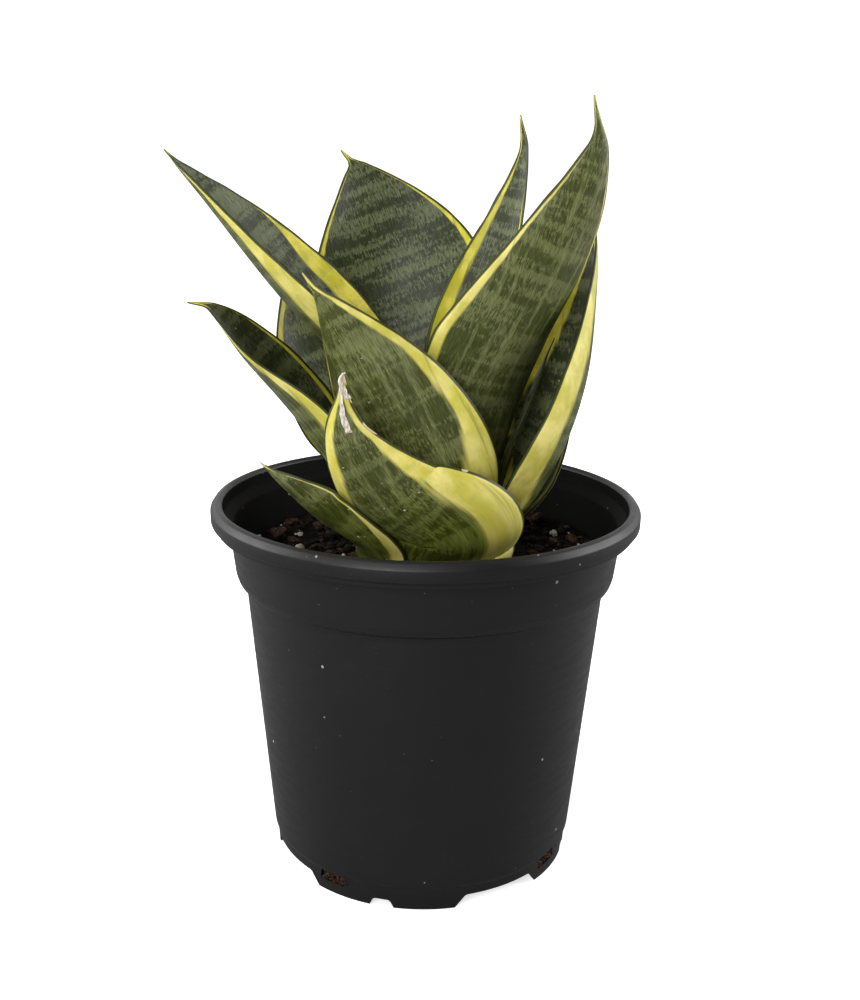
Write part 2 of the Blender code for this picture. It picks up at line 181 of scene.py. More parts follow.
def object_place(tree):
    return add_node(tree, "ShaderNodeTexCoord").outputs["Object"]


def colour(*values):
    """A colour from three linear values."""
    return (*values, 1.0)


# %% Groups and materials
def new_group(name, inputs, outputs):
    """A shader node group with named sockets: inputs are (label, kind, value), outputs (label, kind)."""
    group = bpy.data.node_groups.new(name, "ShaderNodeTree")
    for label, kind, value in inputs:
        socket = group.interface.new_socket(label, in_out="INPUT", socket_type=kind)
        if value is not None:
            socket.default_value = value
    for label, kind in outputs:
        group.interface.new_socket(label, in_out="OUTPUT", socket_type=kind)
    return group, group.nodes.new("NodeGroupInput"), group.nodes.new("NodeGroupOutput")


def new_material(name, constants=()):
    """A material with its Principled BSDF, whose constant values are set on its own sockets."""
    material = bpy.data.materials.new(name)
    material.use_nodes = True
    shader = material.node_tree.nodes["Principled BSDF"]
    for key, value in dict(constants).items():
        shader.inputs[key].default_value = value
    return material, material.node_tree, shader


def bump(tree, height, distance, strength):
    """Relief whose full height is the distance, in metres."""
    made = add_node(tree, "ShaderNodeBump", {"Height": height, "Distance": distance, "Strength": strength})
    return made.outputs["Normal"]


def feed(tree, shader, sockets):
    """Link the sockets that change over the surface to the shader's inputs of those names."""
    for key, socket in sockets.items():
        tree.links.new(socket, shader.inputs[key])


# %% [markdown]
# ## Studio
#
# A white sweep, a bright room and four large soft lights. Satin black plastic shows whatever it
# faces, so the room is dimmer on the viewer's side: that keeps the front of the pot deep and lets
# its sides pick up the light. Rays that go straight to the camera see plain white, and the floor
# glows a little less close to the pot, so that a soft shadow is left there.

# %% Floor
FLOOR_SIZE = 12.0
SHADOW_REACH = (0.06, 0.32)
floor_bm = bmesh.new()
bmesh.ops.create_grid(floor_bm, x_segments=1, y_segments=1, size=FLOOR_SIZE / 2)
floor = bmesh_object("floor", floor_bm)
floor_material, floor_tree, floor_shader = new_material("studio_floor", {
    "Roughness": 0.9, "Emission Color": colour(1.0, 1.0, 1.0)})
floor_seen = add_node(floor_tree, "ShaderNodeLightPath").outputs["Is Camera Ray"]
floor_white = mix_colours(floor_tree, floor_seen, colour(0.30, 0.30, 0.30), colour(0.9, 0.9, 0.9))
floor_distance = add_node(floor_tree, "ShaderNodeVectorMath", {0: object_place(floor_tree)},
                          operation="LENGTH").outputs["Value"]
floor_glow = times(floor_tree, floor_seen, step_between(floor_tree, floor_distance, *SHADOW_REACH, 0.62, 1.0))
feed(floor_tree, floor_shader, {"Base Color": floor_white, "Emission Strength": floor_glow})
floor.data.materials.append(floor_material)

# %% Room
bpy.context.scene.view_settings.view_transform = "Standard"
world = bpy.data.worlds.new("studio_room")
world.use_nodes = True
bpy.context.scene.world = world
room = world.node_tree
direction = add_node(room, "ShaderNodeTexCoord").outputs["Generated"]
parts = add_node(room, "ShaderNodeSeparateXYZ", {0: direction})
behind_plant = step_between(room, parts.outputs["Y"], -0.5, 0.2, 0.02, 1.10)
overhead = step_between(room, parts.outputs["Z"], 0.35, 0.9, 1.0, 0.15)
brightness = times(room, behind_plant, overhead)
seen_directly = add_node(room, "ShaderNodeLightPath").outputs["Is Camera Ray"]
strength = add_node(room, "ShaderNodeMix", {0: seen_directly, 2: brightness, 3: 1.2}).outputs[0]
background = room.nodes["Background"]
background.inputs["Color"].default_value = colour(1.0, 1.0, 1.0)
room.links.new(strength, background.inputs["Strength"])


# %% Soft lights
def soft_light(name, place, target, size, power):
    """A square soft box, in metres from the pot's axis, turned towards its target."""
    data = bpy.data.lights.new(name, "AREA")
    data.size = size
    data.energy = power
    lamp = new_object(name, data)
    lamp.location = POT_AXIS + Vector(place)
    lamp.rotation_euler = (Vector(target) - Vector(place)).to_track_quat("-Z", "Y").to_euler()


PLANT_MIDDLE = (0.0, 0.0, 0.17)
soft_light("light_top", (-0.15, -0.35, 1.1), PLANT_MIDDLE, 0.9, 2.0)
soft_light("light_left", (-1.0, 0.1, 0.5), PLANT_MIDDLE, 0.7, 8.0)
soft_light("light_right", (1.0, 0.15, 0.5), PLANT_MIDDLE, 0.7, 8.0)
soft_light("light_front", (-0.45, -1.15, 0.65), PLANT_MIDDLE, 0.8, 15.0)
print("lights:", len(bpy.data.lights))

# %% [markdown]
# ## Finishes that several materials share
#
# Dust falls on the pot, on the leaves and on the mix, and it always looks the same: a scatter of
# pale specks well under a millimetre across. A group with a size and an amount builds it once.

# %% Dust specks
def build_dust_group():
    group, given, result = new_group(
        "dust_specks",
        [("Place", "NodeSocketVector", None), ("Spacing", "NodeSocketFloat", 6.0),
         ("Size", "NodeSocketFloat", 0.3), ("Amount", "NodeSocketFloat", 0.4)],
        [("Mask", "NodeSocketFloat")])
    rate = calculate(group, "DIVIDE", 1000.0, given.outputs["Spacing"])
    cells = add_node(group, "ShaderNodeTexVoronoi", {"Vector": given.outputs["Place"], "Scale": rate})
    speck = add_node(group, "ShaderNodeSeparateColor", {0: cells.outputs["Color"]})
    radius = calculate(group, "DIVIDE", given.outputs["Size"], given.outputs["Spacing"])
    radius = times(group, radius, plus(group, speck.outputs["Green"], 0.25))
    grain = calculate(group, "LESS_THAN", cells.outputs["Distance"], radius)
    present = calculate(group, "LESS_THAN", speck.outputs["Red"], given.outputs["Amount"])
    group.links.new(times(group, grain, present), result.inputs["Mask"])
    return group


DUST = build_dust_group()


def add_dust(tree, place, spacing, size, amount):
    """Specks of a size in millimetres, on a share of places as far apart as the spacing."""
    made = add_node(tree, "ShaderNodeGroup", {"Place": place, "Spacing": spacing, "Size": size,
                                              "Amount": amount}, node_tree=DUST)
    return made.outputs["Mask"]


# %% [markdown]
# ## Pot
#
# A nursery pot is drawn out of one thin sheet of black plastic: a rolled rim, a small step under
# it, an upper band, a shoulder and a tapering wall that ends in a foot ring with gaps for water.
# It could be modelled as a cylinder that is pushed in here and there. Turning its section once
# round the axis is simpler and truer, because that section is what the mould has. The corners of
# the section are rounded first, while it is still a line. The outside is satin. The inside over
# the mix is a darker, duller black that paints the shade in the pot, so the pot has two
# finishes. Lengths are in millimetres.

# %% Section of the pot
WALL = 1.4
LIP_RADIUS = 74.7
LEDGE_Z = 131.6
RIM_FOOT_Z = 130.4
BAND_RADIUS = 72.2
BAND_FOOT_RADIUS = 70.4
SHOULDER_Z = 109.0
WALL_TOP_RADIUS = 66.8
BASE_STEP_Z = 9.4
BASE_RADIUS = 57.9
FOOT_RADIUS = 57.0
FOOT_TAPER = 0.6
FLOOR_UNDERSIDE_Z = 5.5
FLOOR_TOP_Z = 7.2
POT_STEPS = 160
FOOT_EDGE_RADIUS = FOOT_RADIUS - FOOT_TAPER
POT_SECTION = [
    (0.0, FLOOR_TOP_Z),
    (BASE_RADIUS - WALL - 4.0, FLOOR_TOP_Z),
    (BASE_RADIUS - WALL, FLOOR_TOP_Z + 3.0),
    (WALL_TOP_RADIUS - WALL, SHOULDER_Z - 1.6),
    (BAND_FOOT_RADIUS - WALL - 0.4, SHOULDER_Z + 1.6),
    (BAND_RADIUS - WALL, LEDGE_Z - 2.1),
    (LIP_RADIUS - 1.9, LEDGE_Z),
    (LIP_RADIUS - 0.4, LEDGE_Z + 1.0),
    (LIP_RADIUS, POT_HEIGHT - 1.2),
    (LIP_RADIUS + 1.2, POT_HEIGHT),
    (RIM_RADIUS - 1.4, POT_HEIGHT - 0.5),
    (RIM_RADIUS, POT_HEIGHT - 2.6),
    (RIM_RADIUS - 0.1, RIM_FOOT_Z + 0.8),
    (RIM_RADIUS - 1.7, RIM_FOOT_Z),
    (RIM_RADIUS - 1.8, RIM_FOOT_Z - 1.6),
    (BAND_RADIUS + 0.4, RIM_FOOT_Z - 2.2),
    (BAND_RADIUS, RIM_FOOT_Z - 3.6),
    (BAND_FOOT_RADIUS, SHOULDER_Z + 3.0),
    (BAND_FOOT_RADIUS - 0.8, SHOULDER_Z + 0.6),
    (WALL_TOP_RADIUS + 0.4, SHOULDER_Z - 0.7),
    (WALL_TOP_RADIUS - 0.1, SHOULDER_Z - 2.6),
    (BASE_RADIUS, BASE_STEP_Z + 0.6),
    (BASE_RADIUS - 0.5, BASE_STEP_Z - 0.4),
    (FOOT_RADIUS, BASE_STEP_Z - 1.0),
    (FOOT_EDGE_RADIUS, 0.0),
    (FOOT_EDGE_RADIUS - WALL, 0.0),
    (FOOT_EDGE_RADIUS - WALL - 0.3, FLOOR_UNDERSIDE_Z),
    (0.0, FLOOR_UNDERSIDE_Z),
]
CORNER_ROUNDING = 0.55
MERGE_DISTANCE = 0.005


# %% Turn a section
def turn_section(section, steps, rounding=0.0):
    """Spin a half section once round the vertical axis, with its corners rounded first if asked."""
    bm = bmesh.new()
    line = [bm.verts.new((radius, 0.0, z)) for radius, z in section]
    for first, second in zip(line, line[1:]):
        bm.edges.new((first, second))
    if rounding:
        bmesh.ops.bevel(bm, geom=line[1:-1], offset=rounding, offset_type="OFFSET", segments=3,
                        profile=0.5, affect="VERTICES", material=-1, clamp_overlap=True)
    bmesh.ops.spin(bm, geom=bm.verts[:] + bm.edges[:], cent=(0, 0, 0), axis=(0, 0, 1), angle=2 * pi,
                   steps=steps, use_merge=True)
    bmesh.ops.remove_doubles(bm, verts=bm.verts, dist=MERGE_DISTANCE)
    bmesh.ops.recalc_face_normals(bm, faces=bm.faces)
    return bm


# %% Black pot plastic
def make_pot_plastic():
    """Satin black sheet: faint mould lines, fine grain, scuffs, and pale dust specks."""
    material, tree, shader = new_material("black_pot_plastic", {"Specular IOR Level": 0.36})
    place = object_place(tree)
    mottling = cloud(tree, place, 45.0, 4.0, 0.6)
    scratches = cloud(tree, scaled(tree, place, (90.0, 90.0, 420.0)), 1.0, 4.0, 0.6)
    scuffs = step_between(tree, cloud(tree, scaled(tree, place, (300.0, 300.0, 2400.0)), 1.0, 2.0, 0.5),
                          0.66, 0.74)
    worn = times(tree, scuffs, step_between(tree, mottling, 0.48, 0.62))
    specks = add_dust(tree, place, 7.0, 0.55, 0.16)
    fine_specks = add_dust(tree, place, 3.1, 0.20, 0.22)
    dust = calculate(tree, "MAXIMUM", specks, times(tree, fine_specks, 0.35))
    black = mix_colours(tree, mottling, colour(0.0045, 0.0045, 0.005), colour(0.008, 0.008, 0.0088))
    greyed = mix_colours(tree, times(tree, worn, 0.22), black, colour(0.06, 0.06, 0.065))
    dusty = mix_colours(tree, dust, greyed, colour(0.32, 0.30, 0.27))
    gloss = step_between(tree, scratches, 0.3, 0.7, 0.40, 0.48)
    gloss = plus(tree, gloss, times(tree, dust, 0.4), clamp=True)
    grain = cloud(tree, place, 2200.0, 2.0, 0.5)
    relief = bump(tree, plus(tree, times(tree, scratches, 0.3), grain), 0.00003, 0.5)
    feed(tree, shader, {"Base Color": dusty, "Roughness": gloss, "Normal": relief})
    return material


def make_shaded_inside():
    """The inside of the pot above the mix: a darker, duller black than outside, as painted shade, with
    blotches and dust specks.
    """
    material, tree, shader = new_material("painted_shade_pot_inside", {"Roughness": 0.7, "Specular IOR Level": 0.07})
    place = object_place(tree)
    stains = cloud(tree, scaled(tree, place, (90.0, 90.0, 40.0)), 1.0, 4.0, 0.6)
    # painted shade: this black is darker than the outside's, standing in for the shade inside the pot
    black = mix_colours(tree, stains, colour(0.0018, 0.0018, 0.0020), colour(0.0055, 0.0052, 0.0050))
    dusty = mix_colours(tree, add_dust(tree, place, 4.0, 0.4, 0.16), black, colour(0.16, 0.14, 0.12))
    feed(tree, shader, {"Base Color": dusty, "Normal": bump(tree, stains, 0.0002, 0.4)})
    return material


POT_PLASTIC = make_pot_plastic()
SHADED_INSIDE = make_shaded_inside()

# %% Cut the foot ring
FOOT_PAIRS = 4
FIRST_PAIR_AZIMUTH = -104.0
PAIR_HALF_ANGLE = 27.0
FOOT_GAP_TOP_Z = FLOOR_UNDERSIDE_Z - 0.4
FOOT_GAP_SLANT = 4.0
CUTTER_REACH = 16.0
CUTTER_LOW_Z = -2.0
CUTTER_ROUNDING = 0.9
NOTCH_TOP_Z = 3.2
NOTCH_WIDTHS = (11.0, 6.0)
DRAIN_TURN = -20.0
DRAIN_LOW_Z = 4.4
DRAIN_TOP_Z = 8.6
DRAIN_WIDTHS = (12.0, 10.0)


def foot_cutter(azimuth, low_z, high_z, low_width, high_width):
    """A block across the foot ring with a trapezium for a front face, slightly rounded."""
    bm = bmesh.new()
    bmesh.ops.create_cube(bm, size=1.0)
    for vert in bm.verts:
        at_top = vert.co.z > 0
        vert.co.x *= CUTTER_REACH
        vert.co.y *= high_width if at_top else low_width
        vert.co.z = high_z if at_top else low_z
    along = [edge for edge in bm.edges if abs(edge.verts[0].co.x - edge.verts[1].co.x) > CUTTER_REACH / 2]
    bmesh.ops.bevel(bm, geom=along, offset=CUTTER_ROUNDING, offset_type="OFFSET", segments=3, profile=0.5,
                    affect="EDGES", material=-1)
    bmesh.ops.translate(bm, vec=(FOOT_RADIUS, 0.0, 0.0), verts=bm.verts)
    bmesh.ops.rotate(bm, matrix=Matrix.Rotation(radians(azimuth), 3, "Z"), verts=bm.verts)
    bmesh.ops.transform(bm, matrix=FROM_POT_AXIS, verts=bm.verts)
    return bmesh_object("foot_cutter", bm)


def foot_cutters():
    """The same three cuts in each quarter of the ring: a wide gap, a small notch and a drain slot."""
    period = 360.0 / FOOT_PAIRS
    gap_foot = 2 * FOOT_RADIUS * sin(radians(period / 2 - PAIR_HALF_ANGLE))
    gap_top = 2 * FOOT_RADIUS * sin(radians(period / 2 - PAIR_HALF_ANGLE - FOOT_GAP_SLANT))
    gap_low = gap_foot + (gap_top - gap_foot) * CUTTER_LOW_Z / FOOT_GAP_TOP_Z
    shapes = [(period / 2, CUTTER_LOW_Z, FOOT_GAP_TOP_Z, gap_low, gap_top),
              (0.0, CUTTER_LOW_Z, NOTCH_TOP_Z, *NOTCH_WIDTHS),
              (DRAIN_TURN, DRAIN_LOW_Z, DRAIN_TOP_Z, *DRAIN_WIDTHS)]
    return [foot_cutter(FIRST_PAIR_AZIMUTH + index * period + turn, *shape)
            for index in range(FOOT_PAIRS) for turn, *shape in shapes]


# %% The pot
SHADE_STARTS_BELOW_RIM = 2.0
SHARP_ANGLE = 38.0


def freeze(piece):
    """Apply a piece's modifiers, so that their helpers can be taken away."""
    result = piece.evaluated_get(bpy.context.evaluated_depsgraph_get())
    piece.data = bpy.data.meshes.new_from_object(result)
    piece.modifiers.clear()


def make_pot():
    bm = turn_section(POT_SECTION, POT_STEPS, CORNER_ROUNDING)
    for face in bm.faces:
        middle = face.calc_center_median()
        inwards = face.normal.x * middle.x + face.normal.y * middle.y < 0
        # inward faces below the rim take the darker black of painted shade
        if inwards and FLOOR_TOP_Z < middle.z < POT_HEIGHT - SHADE_STARTS_BELOW_RIM:
            face.material_index = 1
    pot = make_piece("nursery_pot", bm, [POT_PLASTIC, SHADED_INSIDE], ["pot"])
    cutters = foot_cutters()
    for cutter in cutters:
        cut = pot.modifiers.new("cut", "BOOLEAN")
        cut.operation = "DIFFERENCE"
        cut.solver = "EXACT"
        cut.object = cutter
    freeze(pot)
    for cutter in cutters:
        bpy.data.objects.remove(cutter, do_unlink=True)
    pot.data.shade_smooth()
    pot.data.set_sharp_from_angle(angle=radians(SHARP_ANGLE))
    return pot


pot = make_pot()
print("pot faces:", len(pot.data.polygons))

# %% [markdown]
# ## Rosette
#
# A leaf of this plant is one thick blade. It wraps the younger leaves at its foot, swells into a
# broad channel and narrows into a drawn-out tip. Sculpting thirteen of them by hand would be slow
# and hard to keep clear of each other. Here a leaf is a flat grid laid over rows of points: each
# row is an arc across the midrib, as wide and as curled as the leaf is at that height.
#
# One entry of the table is one leaf, from the heart outwards, in the place of the frame's own leaf
# of that name. Lengths are in millimetres and angles in degrees. The foot stands at the radius and
# the heading from the crown. Curl, roll and the two bands list values that are evenly spaced from
# base to tip, however many there are. The bands are the widths of the yellow margin, at the edge
# where the rows start and at the edge where they end. A dry_tip is the length of a dried tip. Each
# scab, on the edge where the rows end, has its start and end as shares of the leaf, and its reach.

# %% The leaves
CROWN = Vector((8.0, 0.0, 0.0))
LEAF_BASE_Z = 117.4
SHEATH_TOP_Z = 121.0
SHEATH_LEAN = 0.6
LEAVES = {
    "leaf_back_slender": dict(
        radius=4.5, heading=60, midrib=[(15, 16, 194), (29, 24, 239), (34, 27, 262), (32, 26, 274)],
        width=33, widest=0.40, taper=1.6, tip=10, curl=(100, 92, 60), roll=(0, -10, 10),
        first_band=(6, 2.5, 0.4), last_band=(9, 6, 0.6)),
    "leaf_left_long": dict(
        radius=5, heading=190, midrib=[(-21, 4, 176), (-53, 0, 213), (-77, -4, 244), (-91, -4, 260)],
        width=64, widest=0.58, taper=1.7, tip=5, curl=(100, 120, 80), roll=(5, 12, 14),
        first_band=(12, 11, 11, 8, 1.0, 0.3), last_band=(20, 13, 0.8)),
    "leaf_right_tall": dict(
        radius=8, heading=-60, midrib=[(21, -14, 174), (43, -20, 224), (55, -20, 262), (53, -17, 279)],
        width=61, widest=0.46, taper=1.25, tip=12, curl=(105, 95, 55), roll=(0, -8, 8),
        first_band=(9, 7, 4, 1.8, 0.4), last_band=(8, 4, 0.6)),
    "leaf_back_broad": dict(
        radius=9, heading=100, midrib=[(0, 33, 178), (-16, 46, 222), (-29, 52, 254), (-35, 53, 261)],
        width=70, widest=0.60, taper=2.1, tip=8, curl=(90, 70, 40), roll=(0, 20, -20),
        first_band=(8, 4.5, 0.8), last_band=(9, 5.5, 0.8)),
    "leaf_heart_strip": dict(
        radius=11, heading=10, midrib=[(29, 4, 150), (39, 6, 176), (45, 8, 196)],
        width=14, widest=0.40, taper=1.6, tip=8, curl=(40, 90, 90), roll=(0, 0, 0),
        first_band=(1, 1, 0.5), last_band=(1.5, 1, 0.5)),
    "leaf_front_middle": dict(
        radius=12, heading=-110, midrib=[(-1, -27, 149), (-14, -33, 177), (-32, -35, 209), (-41, -35, 222)],
        width=58, widest=0.36, taper=1.9, tip=8, curl=(110, 90, 55), roll=(0, -5, 15),
        first_band=(6, 2.5, 0.6), last_band=(20, 14, 7, 4.0, 1.0)),
    "leaf_right_channel": dict(
        radius=15, heading=0, midrib=[(40, 0, 140), (55, 2, 180), (59, 8, 216), (60, 16, 240)],
        width=76, widest=0.38, taper=1.2, tip=10, curl=(100, 130, 85), roll=(8, -10, -15),
        first_band=(19, 12, 2), last_band=(12, 7, 1.5)),
    "leaf_back_left": dict(
        radius=15, heading=128, midrib=[(-28, 35, 147), (-46, 41, 179), (-55, 44, 204), (-58, 45, 215)],
        width=53, widest=0.50, taper=1.8, tip=8, curl=(80, 90, 60), roll=(0, 0, 0),
        first_band=(9, 8, 3), last_band=(9, 8, 3)),
    "leaf_left_middle": dict(
        radius=16.5, heading=202,
        midrib=[(-25, -14, 138), (-39, -16, 162), (-62, -17, 192), (-74, -19, 208), (-82, -19, 210)],
        width=61, widest=0.52, taper=1.75, tip=8, curl=(60, 95, 60), roll=(0, 12, 32),
        first_band=(8, 3, 0.8), last_band=(13, 7, 1.0)),
    "leaf_back_low": dict(
        radius=19, heading=88, midrib=[(13, 38, 140), (17, 52, 168), (21, 59, 192)],
        width=44, widest=0.40, taper=1.9, tip=8, curl=(70, 80, 60), roll=(0, 0, 0),
        first_band=(8, 5, 2), last_band=(8, 5, 2)),
    "leaf_front_wide": dict(
        radius=29, heading=-101,
        midrib=[(4, -37, 131), (-13, -43, 147), (-26, -48, 170), (-27, -50, 192)],
        width=70, widest=0.10, taper=1.1, tip=6, curl=(128, 85, 60), roll=(0, 0, 0),
        first_band=(11, 8, 1.5), last_band=(24, 14, 7, 3, 2), dry_tip=5,
        scabs=((0.30, 0.33, 1.0), (0.72, 0.82, 1.5), (0.89, 0.93, 1.2), (0.955, 0.985, 1.0))),
    "leaf_right_back_low": dict(
        radius=21, heading=30, midrib=[(42, 22, 138), (52, 32, 160), (57, 36, 178)],
        width=40, widest=0.40, taper=1.9, tip=8, curl=(60, 80, 60), roll=(0, 0, 0),
        first_band=(8, 5, 2), last_band=(8, 5, 2)),
    "leaf_front_low": dict(
        radius=33.5, heading=215,
        midrib=[(-23, -25, 127), (-35, -32, 138), (-46, -36, 149), (-56, -37, 159)],
        width=35, widest=0.30, taper=2.1, tip=4, curl=(56, 125, 110), roll=(0, -12, -5),
        first_band=(4, 2, 1), last_band=(7, 1.5, 0.8), dry_tip=4),
}
print("leaves:", len(LEAVES))

# %% [markdown]
# ### The shape of one leaf
#
# The midrib is a smooth curve through a few points. Width, curl and roll ease from base to tip.
# Together they give every row of points.

# %% Midrib, width and rows
TIP_THREAD = 3.0
TIP_END = 0.6
THREAD_OUTSIDE = 0.6
ALMOST_TIP = 0.9999


def along_midrib(points, t):
    """Point at t, from 0 to 1, on a smooth curve through the midrib's points."""
    lengths = [0.0]
    for first, second in zip(points, points[1:]):
        lengths.append(lengths[-1] + (second - first).length)
    knots = [length / lengths[-1] for length in lengths]
    last = len(points) - 1
    index = max(i for i in range(last) if knots[i] <= t)

    def slope(i):
        before = max(i - 1, 0)
        after = min(i + 1, last)
        return (points[after] - points[before]) / (knots[after] - knots[before])

    span = knots[index + 1] - knots[index]
    s = (t - knots[index]) / span
    return ((2 * s ** 3 - 3 * s ** 2 + 1) * points[index]
            + (s ** 3 - 2 * s ** 2 + s) * span * slope(index)
            + (3 * s ** 2 - 2 * s ** 3) * points[index + 1]
            + (s ** 3 - s ** 2) * span * slope(index + 1))


def blend(values, t):
    """Ease through values that are evenly spaced from base to tip."""
    place = min(t, ALMOST_TIP) * (len(values) - 1)
    index = int(place)
    s = place - index
    return values[index] + (values[index + 1] - values[index]) * s * s * (3 - 2 * s)


def leaf_width(leaf, foot, length, t):
    """Width across the leaf: swelling from the foot, then narrowing into a drawn-out tip."""
    widest = leaf["widest"]
    if t <= widest:
        return foot + (leaf["width"] - foot) * sin(pi / 2 * t / widest)
    thread = leaf["tip"] / length
    blade_end = 1 - THREAD_OUTSIDE * thread
    s = min(1.0, (t - widest) / (blade_end - widest))
    blade = leaf["width"] * (1 - s ** leaf["taper"])
    tip = TIP_THREAD * min(1.0, (1 - t) / thread) + TIP_END
    return (blade ** 4 + tip ** 4) ** 0.25


# %% Rows of points
def leaf_rows(leaf, along, across):
    """Rows of points over the leaf, from base to tip, the width of each row and the leaf's length."""
    heading = radians(leaf["heading"])
    outwards = Vector((cos(heading), sin(heading), 0.0))
    sideways = Vector((-sin(heading), cos(heading), 0.0))
    foot = CROWN + outwards * leaf["radius"] + Vector((0, 0, LEAF_BASE_Z))
    sheath = CROWN + outwards * (leaf["radius"] + SHEATH_LEAN) + Vector((0, 0, SHEATH_TOP_Z))
    points = [foot, sheath] + [Vector(point) for point in leaf["midrib"]]
    middle = [along_midrib(points, row / along) for row in range(along + 1)]
    length = sum((b - a).length for a, b in zip(middle, middle[1:]))
    foot_width = leaf["radius"] * radians(leaf["curl"][0])
    rows = []
    widths = []
    for row, centre in enumerate(middle):
        t = row / along
        tangent = (middle[min(row + 1, along)] - middle[max(row - 1, 0)]).normalized()
        facing = tangent.cross(sideways).normalized()
        side = facing.cross(tangent)
        roll = radians(blend(leaf["roll"], t))
        facing, side = (facing * cos(roll) + side * sin(roll), side * cos(roll) - facing * sin(roll))
        curl = radians(blend(leaf["curl"], t))
        width = leaf_width(leaf, foot_width, length, t)
        bend = width / curl
        angles = [curl * (column / across - 0.5) for column in range(across + 1)]
        rows.append([centre + side * bend * sin(a) + facing * bend * (1 - cos(a)) for a in angles])
        widths.append(width)
    return rows, widths, length


# %% [markdown]
# ### Nesting
#
# Each older leaf is pressed outwards wherever it would cut into a younger one that it wraps. The
# frame's leaves were nested on a coarse grid of 18 by 6 faces. The same rule on the same coarse
# grid gives the same shifts here, and the fine grid takes them over smoothly.

# %% Press the leaves apart
COARSE_ALONG = 18
COARSE_ACROSS = 6
NEST_GAP = 3.6
NEST_REACH = 6.0
NEST_PASSES = 4
NEST_MARGIN = 2.5
CLEAR_ENOUGH = 0.01


def away_from_crown(point):
    """The level direction from the crown's axis to a point."""
    return Vector((point.x - CROWN.x, point.y - CROWN.y, 0.0)).normalized()


def widened(rows):
    """The same rows with a little more leaf past each margin."""
    wide = []
    for row in rows:
        first = row[0] + (row[0] - row[1]).normalized() * NEST_MARGIN
        last = row[-1] + (row[-1] - row[-2]).normalized() * NEST_MARGIN
        wide.append([first] + row + [last])
    return wide


def surface_tree(sheets):
    """One search tree over all the leaves that are already in place."""
    points = []
    faces = []
    for rows in sheets:
        start = len(points)
        columns = len(rows[0])
        for row in rows:
            points.extend(row)
        for i in range(len(rows) - 1):
            for j in range(columns - 1):
                corner = start + i * columns + j
                faces.append((corner, corner + 1, corner + columns + 1))
                faces.append((corner, corner + columns + 1, corner + columns))
    return BVHTree.FromPolygons(points, faces, all_triangles=True)


# %% How far a point has to move
def push_needed(tree, point):
    """How far a point has to move away from the crown's axis to clear the leaves inside it."""
    axis_point = Vector((CROWN.x, CROWN.y, point.z))
    outwards = away_from_crown(point)
    reach = (point - axis_point).length + NEST_REACH
    _, _, _, distance = tree.ray_cast(axis_point + outwards * reach, -outwards, reach)
    if distance is None:
        return 0.0
    return max(0.0, NEST_REACH - distance + NEST_GAP)


# %% Nest one leaf
def spread(push):
    """Pass part of each push on to its neighbours, so the leaf bends and doesn't dent."""
    rows, columns = len(push), len(push[0])

    def at(i, j):
        return push[min(max(i, 0), rows - 1)][min(max(j, 0), columns - 1)]

    return [[max(push[i][j], (2 * at(i, j) + at(i - 1, j) + at(i + 1, j)
                              + at(i, j - 1) + at(i, j + 1)) / 6)
             for j in range(columns)] for i in range(rows)]


def nest(rows, sheets):
    """Press a coarse leaf outwards until it lies clear, and say how far each point went."""
    shifts = [[0.0] * len(rows[0]) for _ in rows]
    if not sheets:
        return shifts
    tree = surface_tree(sheets)
    for _ in range(NEST_PASSES):
        push = [[push_needed(tree, point) for point in row] for row in rows]
        if max(max(row) for row in push) < CLEAR_ENOUGH:
            break
        push = spread(spread(push))
        for i, row in enumerate(rows):
            for j, point in enumerate(row):
                rows[i][j] = point + away_from_crown(point) * push[i][j]
                shifts[i][j] += push[i][j]
    return shifts


def between(shifts, u, v):
    """Smooth value at u along and v across a coarse table: cubic in both directions."""
    def through(values, place):
        last = len(values) - 1
        index = min(int(place), last - 1)
        s = place - index
        p0, p1, p2, p3 = (values[min(max(index + k, 0), last)] for k in (-1, 0, 1, 2))
        cubic = 3 * (p1 - p2) + p3 - p0
        square = 2 * p0 - 5 * p1 + 4 * p2 - p3
        return p1 + 0.5 * s * (p2 - p0 + s * (square + s * cubic))

    return through([through(row, v * (len(row) - 1)) for row in shifts], u * (len(shifts) - 1))


# %% [markdown]
# ### Leaf finishes
#
# The upper face is dark green with pale bands across it, the under face is paler and streaked
# along its fibres, and both have a broad yellow margin that ends in a thin dark-green edge. An
# image could carry such a pattern, but not at every scale. Here each leaf carries its own
# measures instead: a map in centimetres along and across the blade, and how far every point lies
# from each margin. The finishes read those, so the bands follow the leaf wherever it bends.

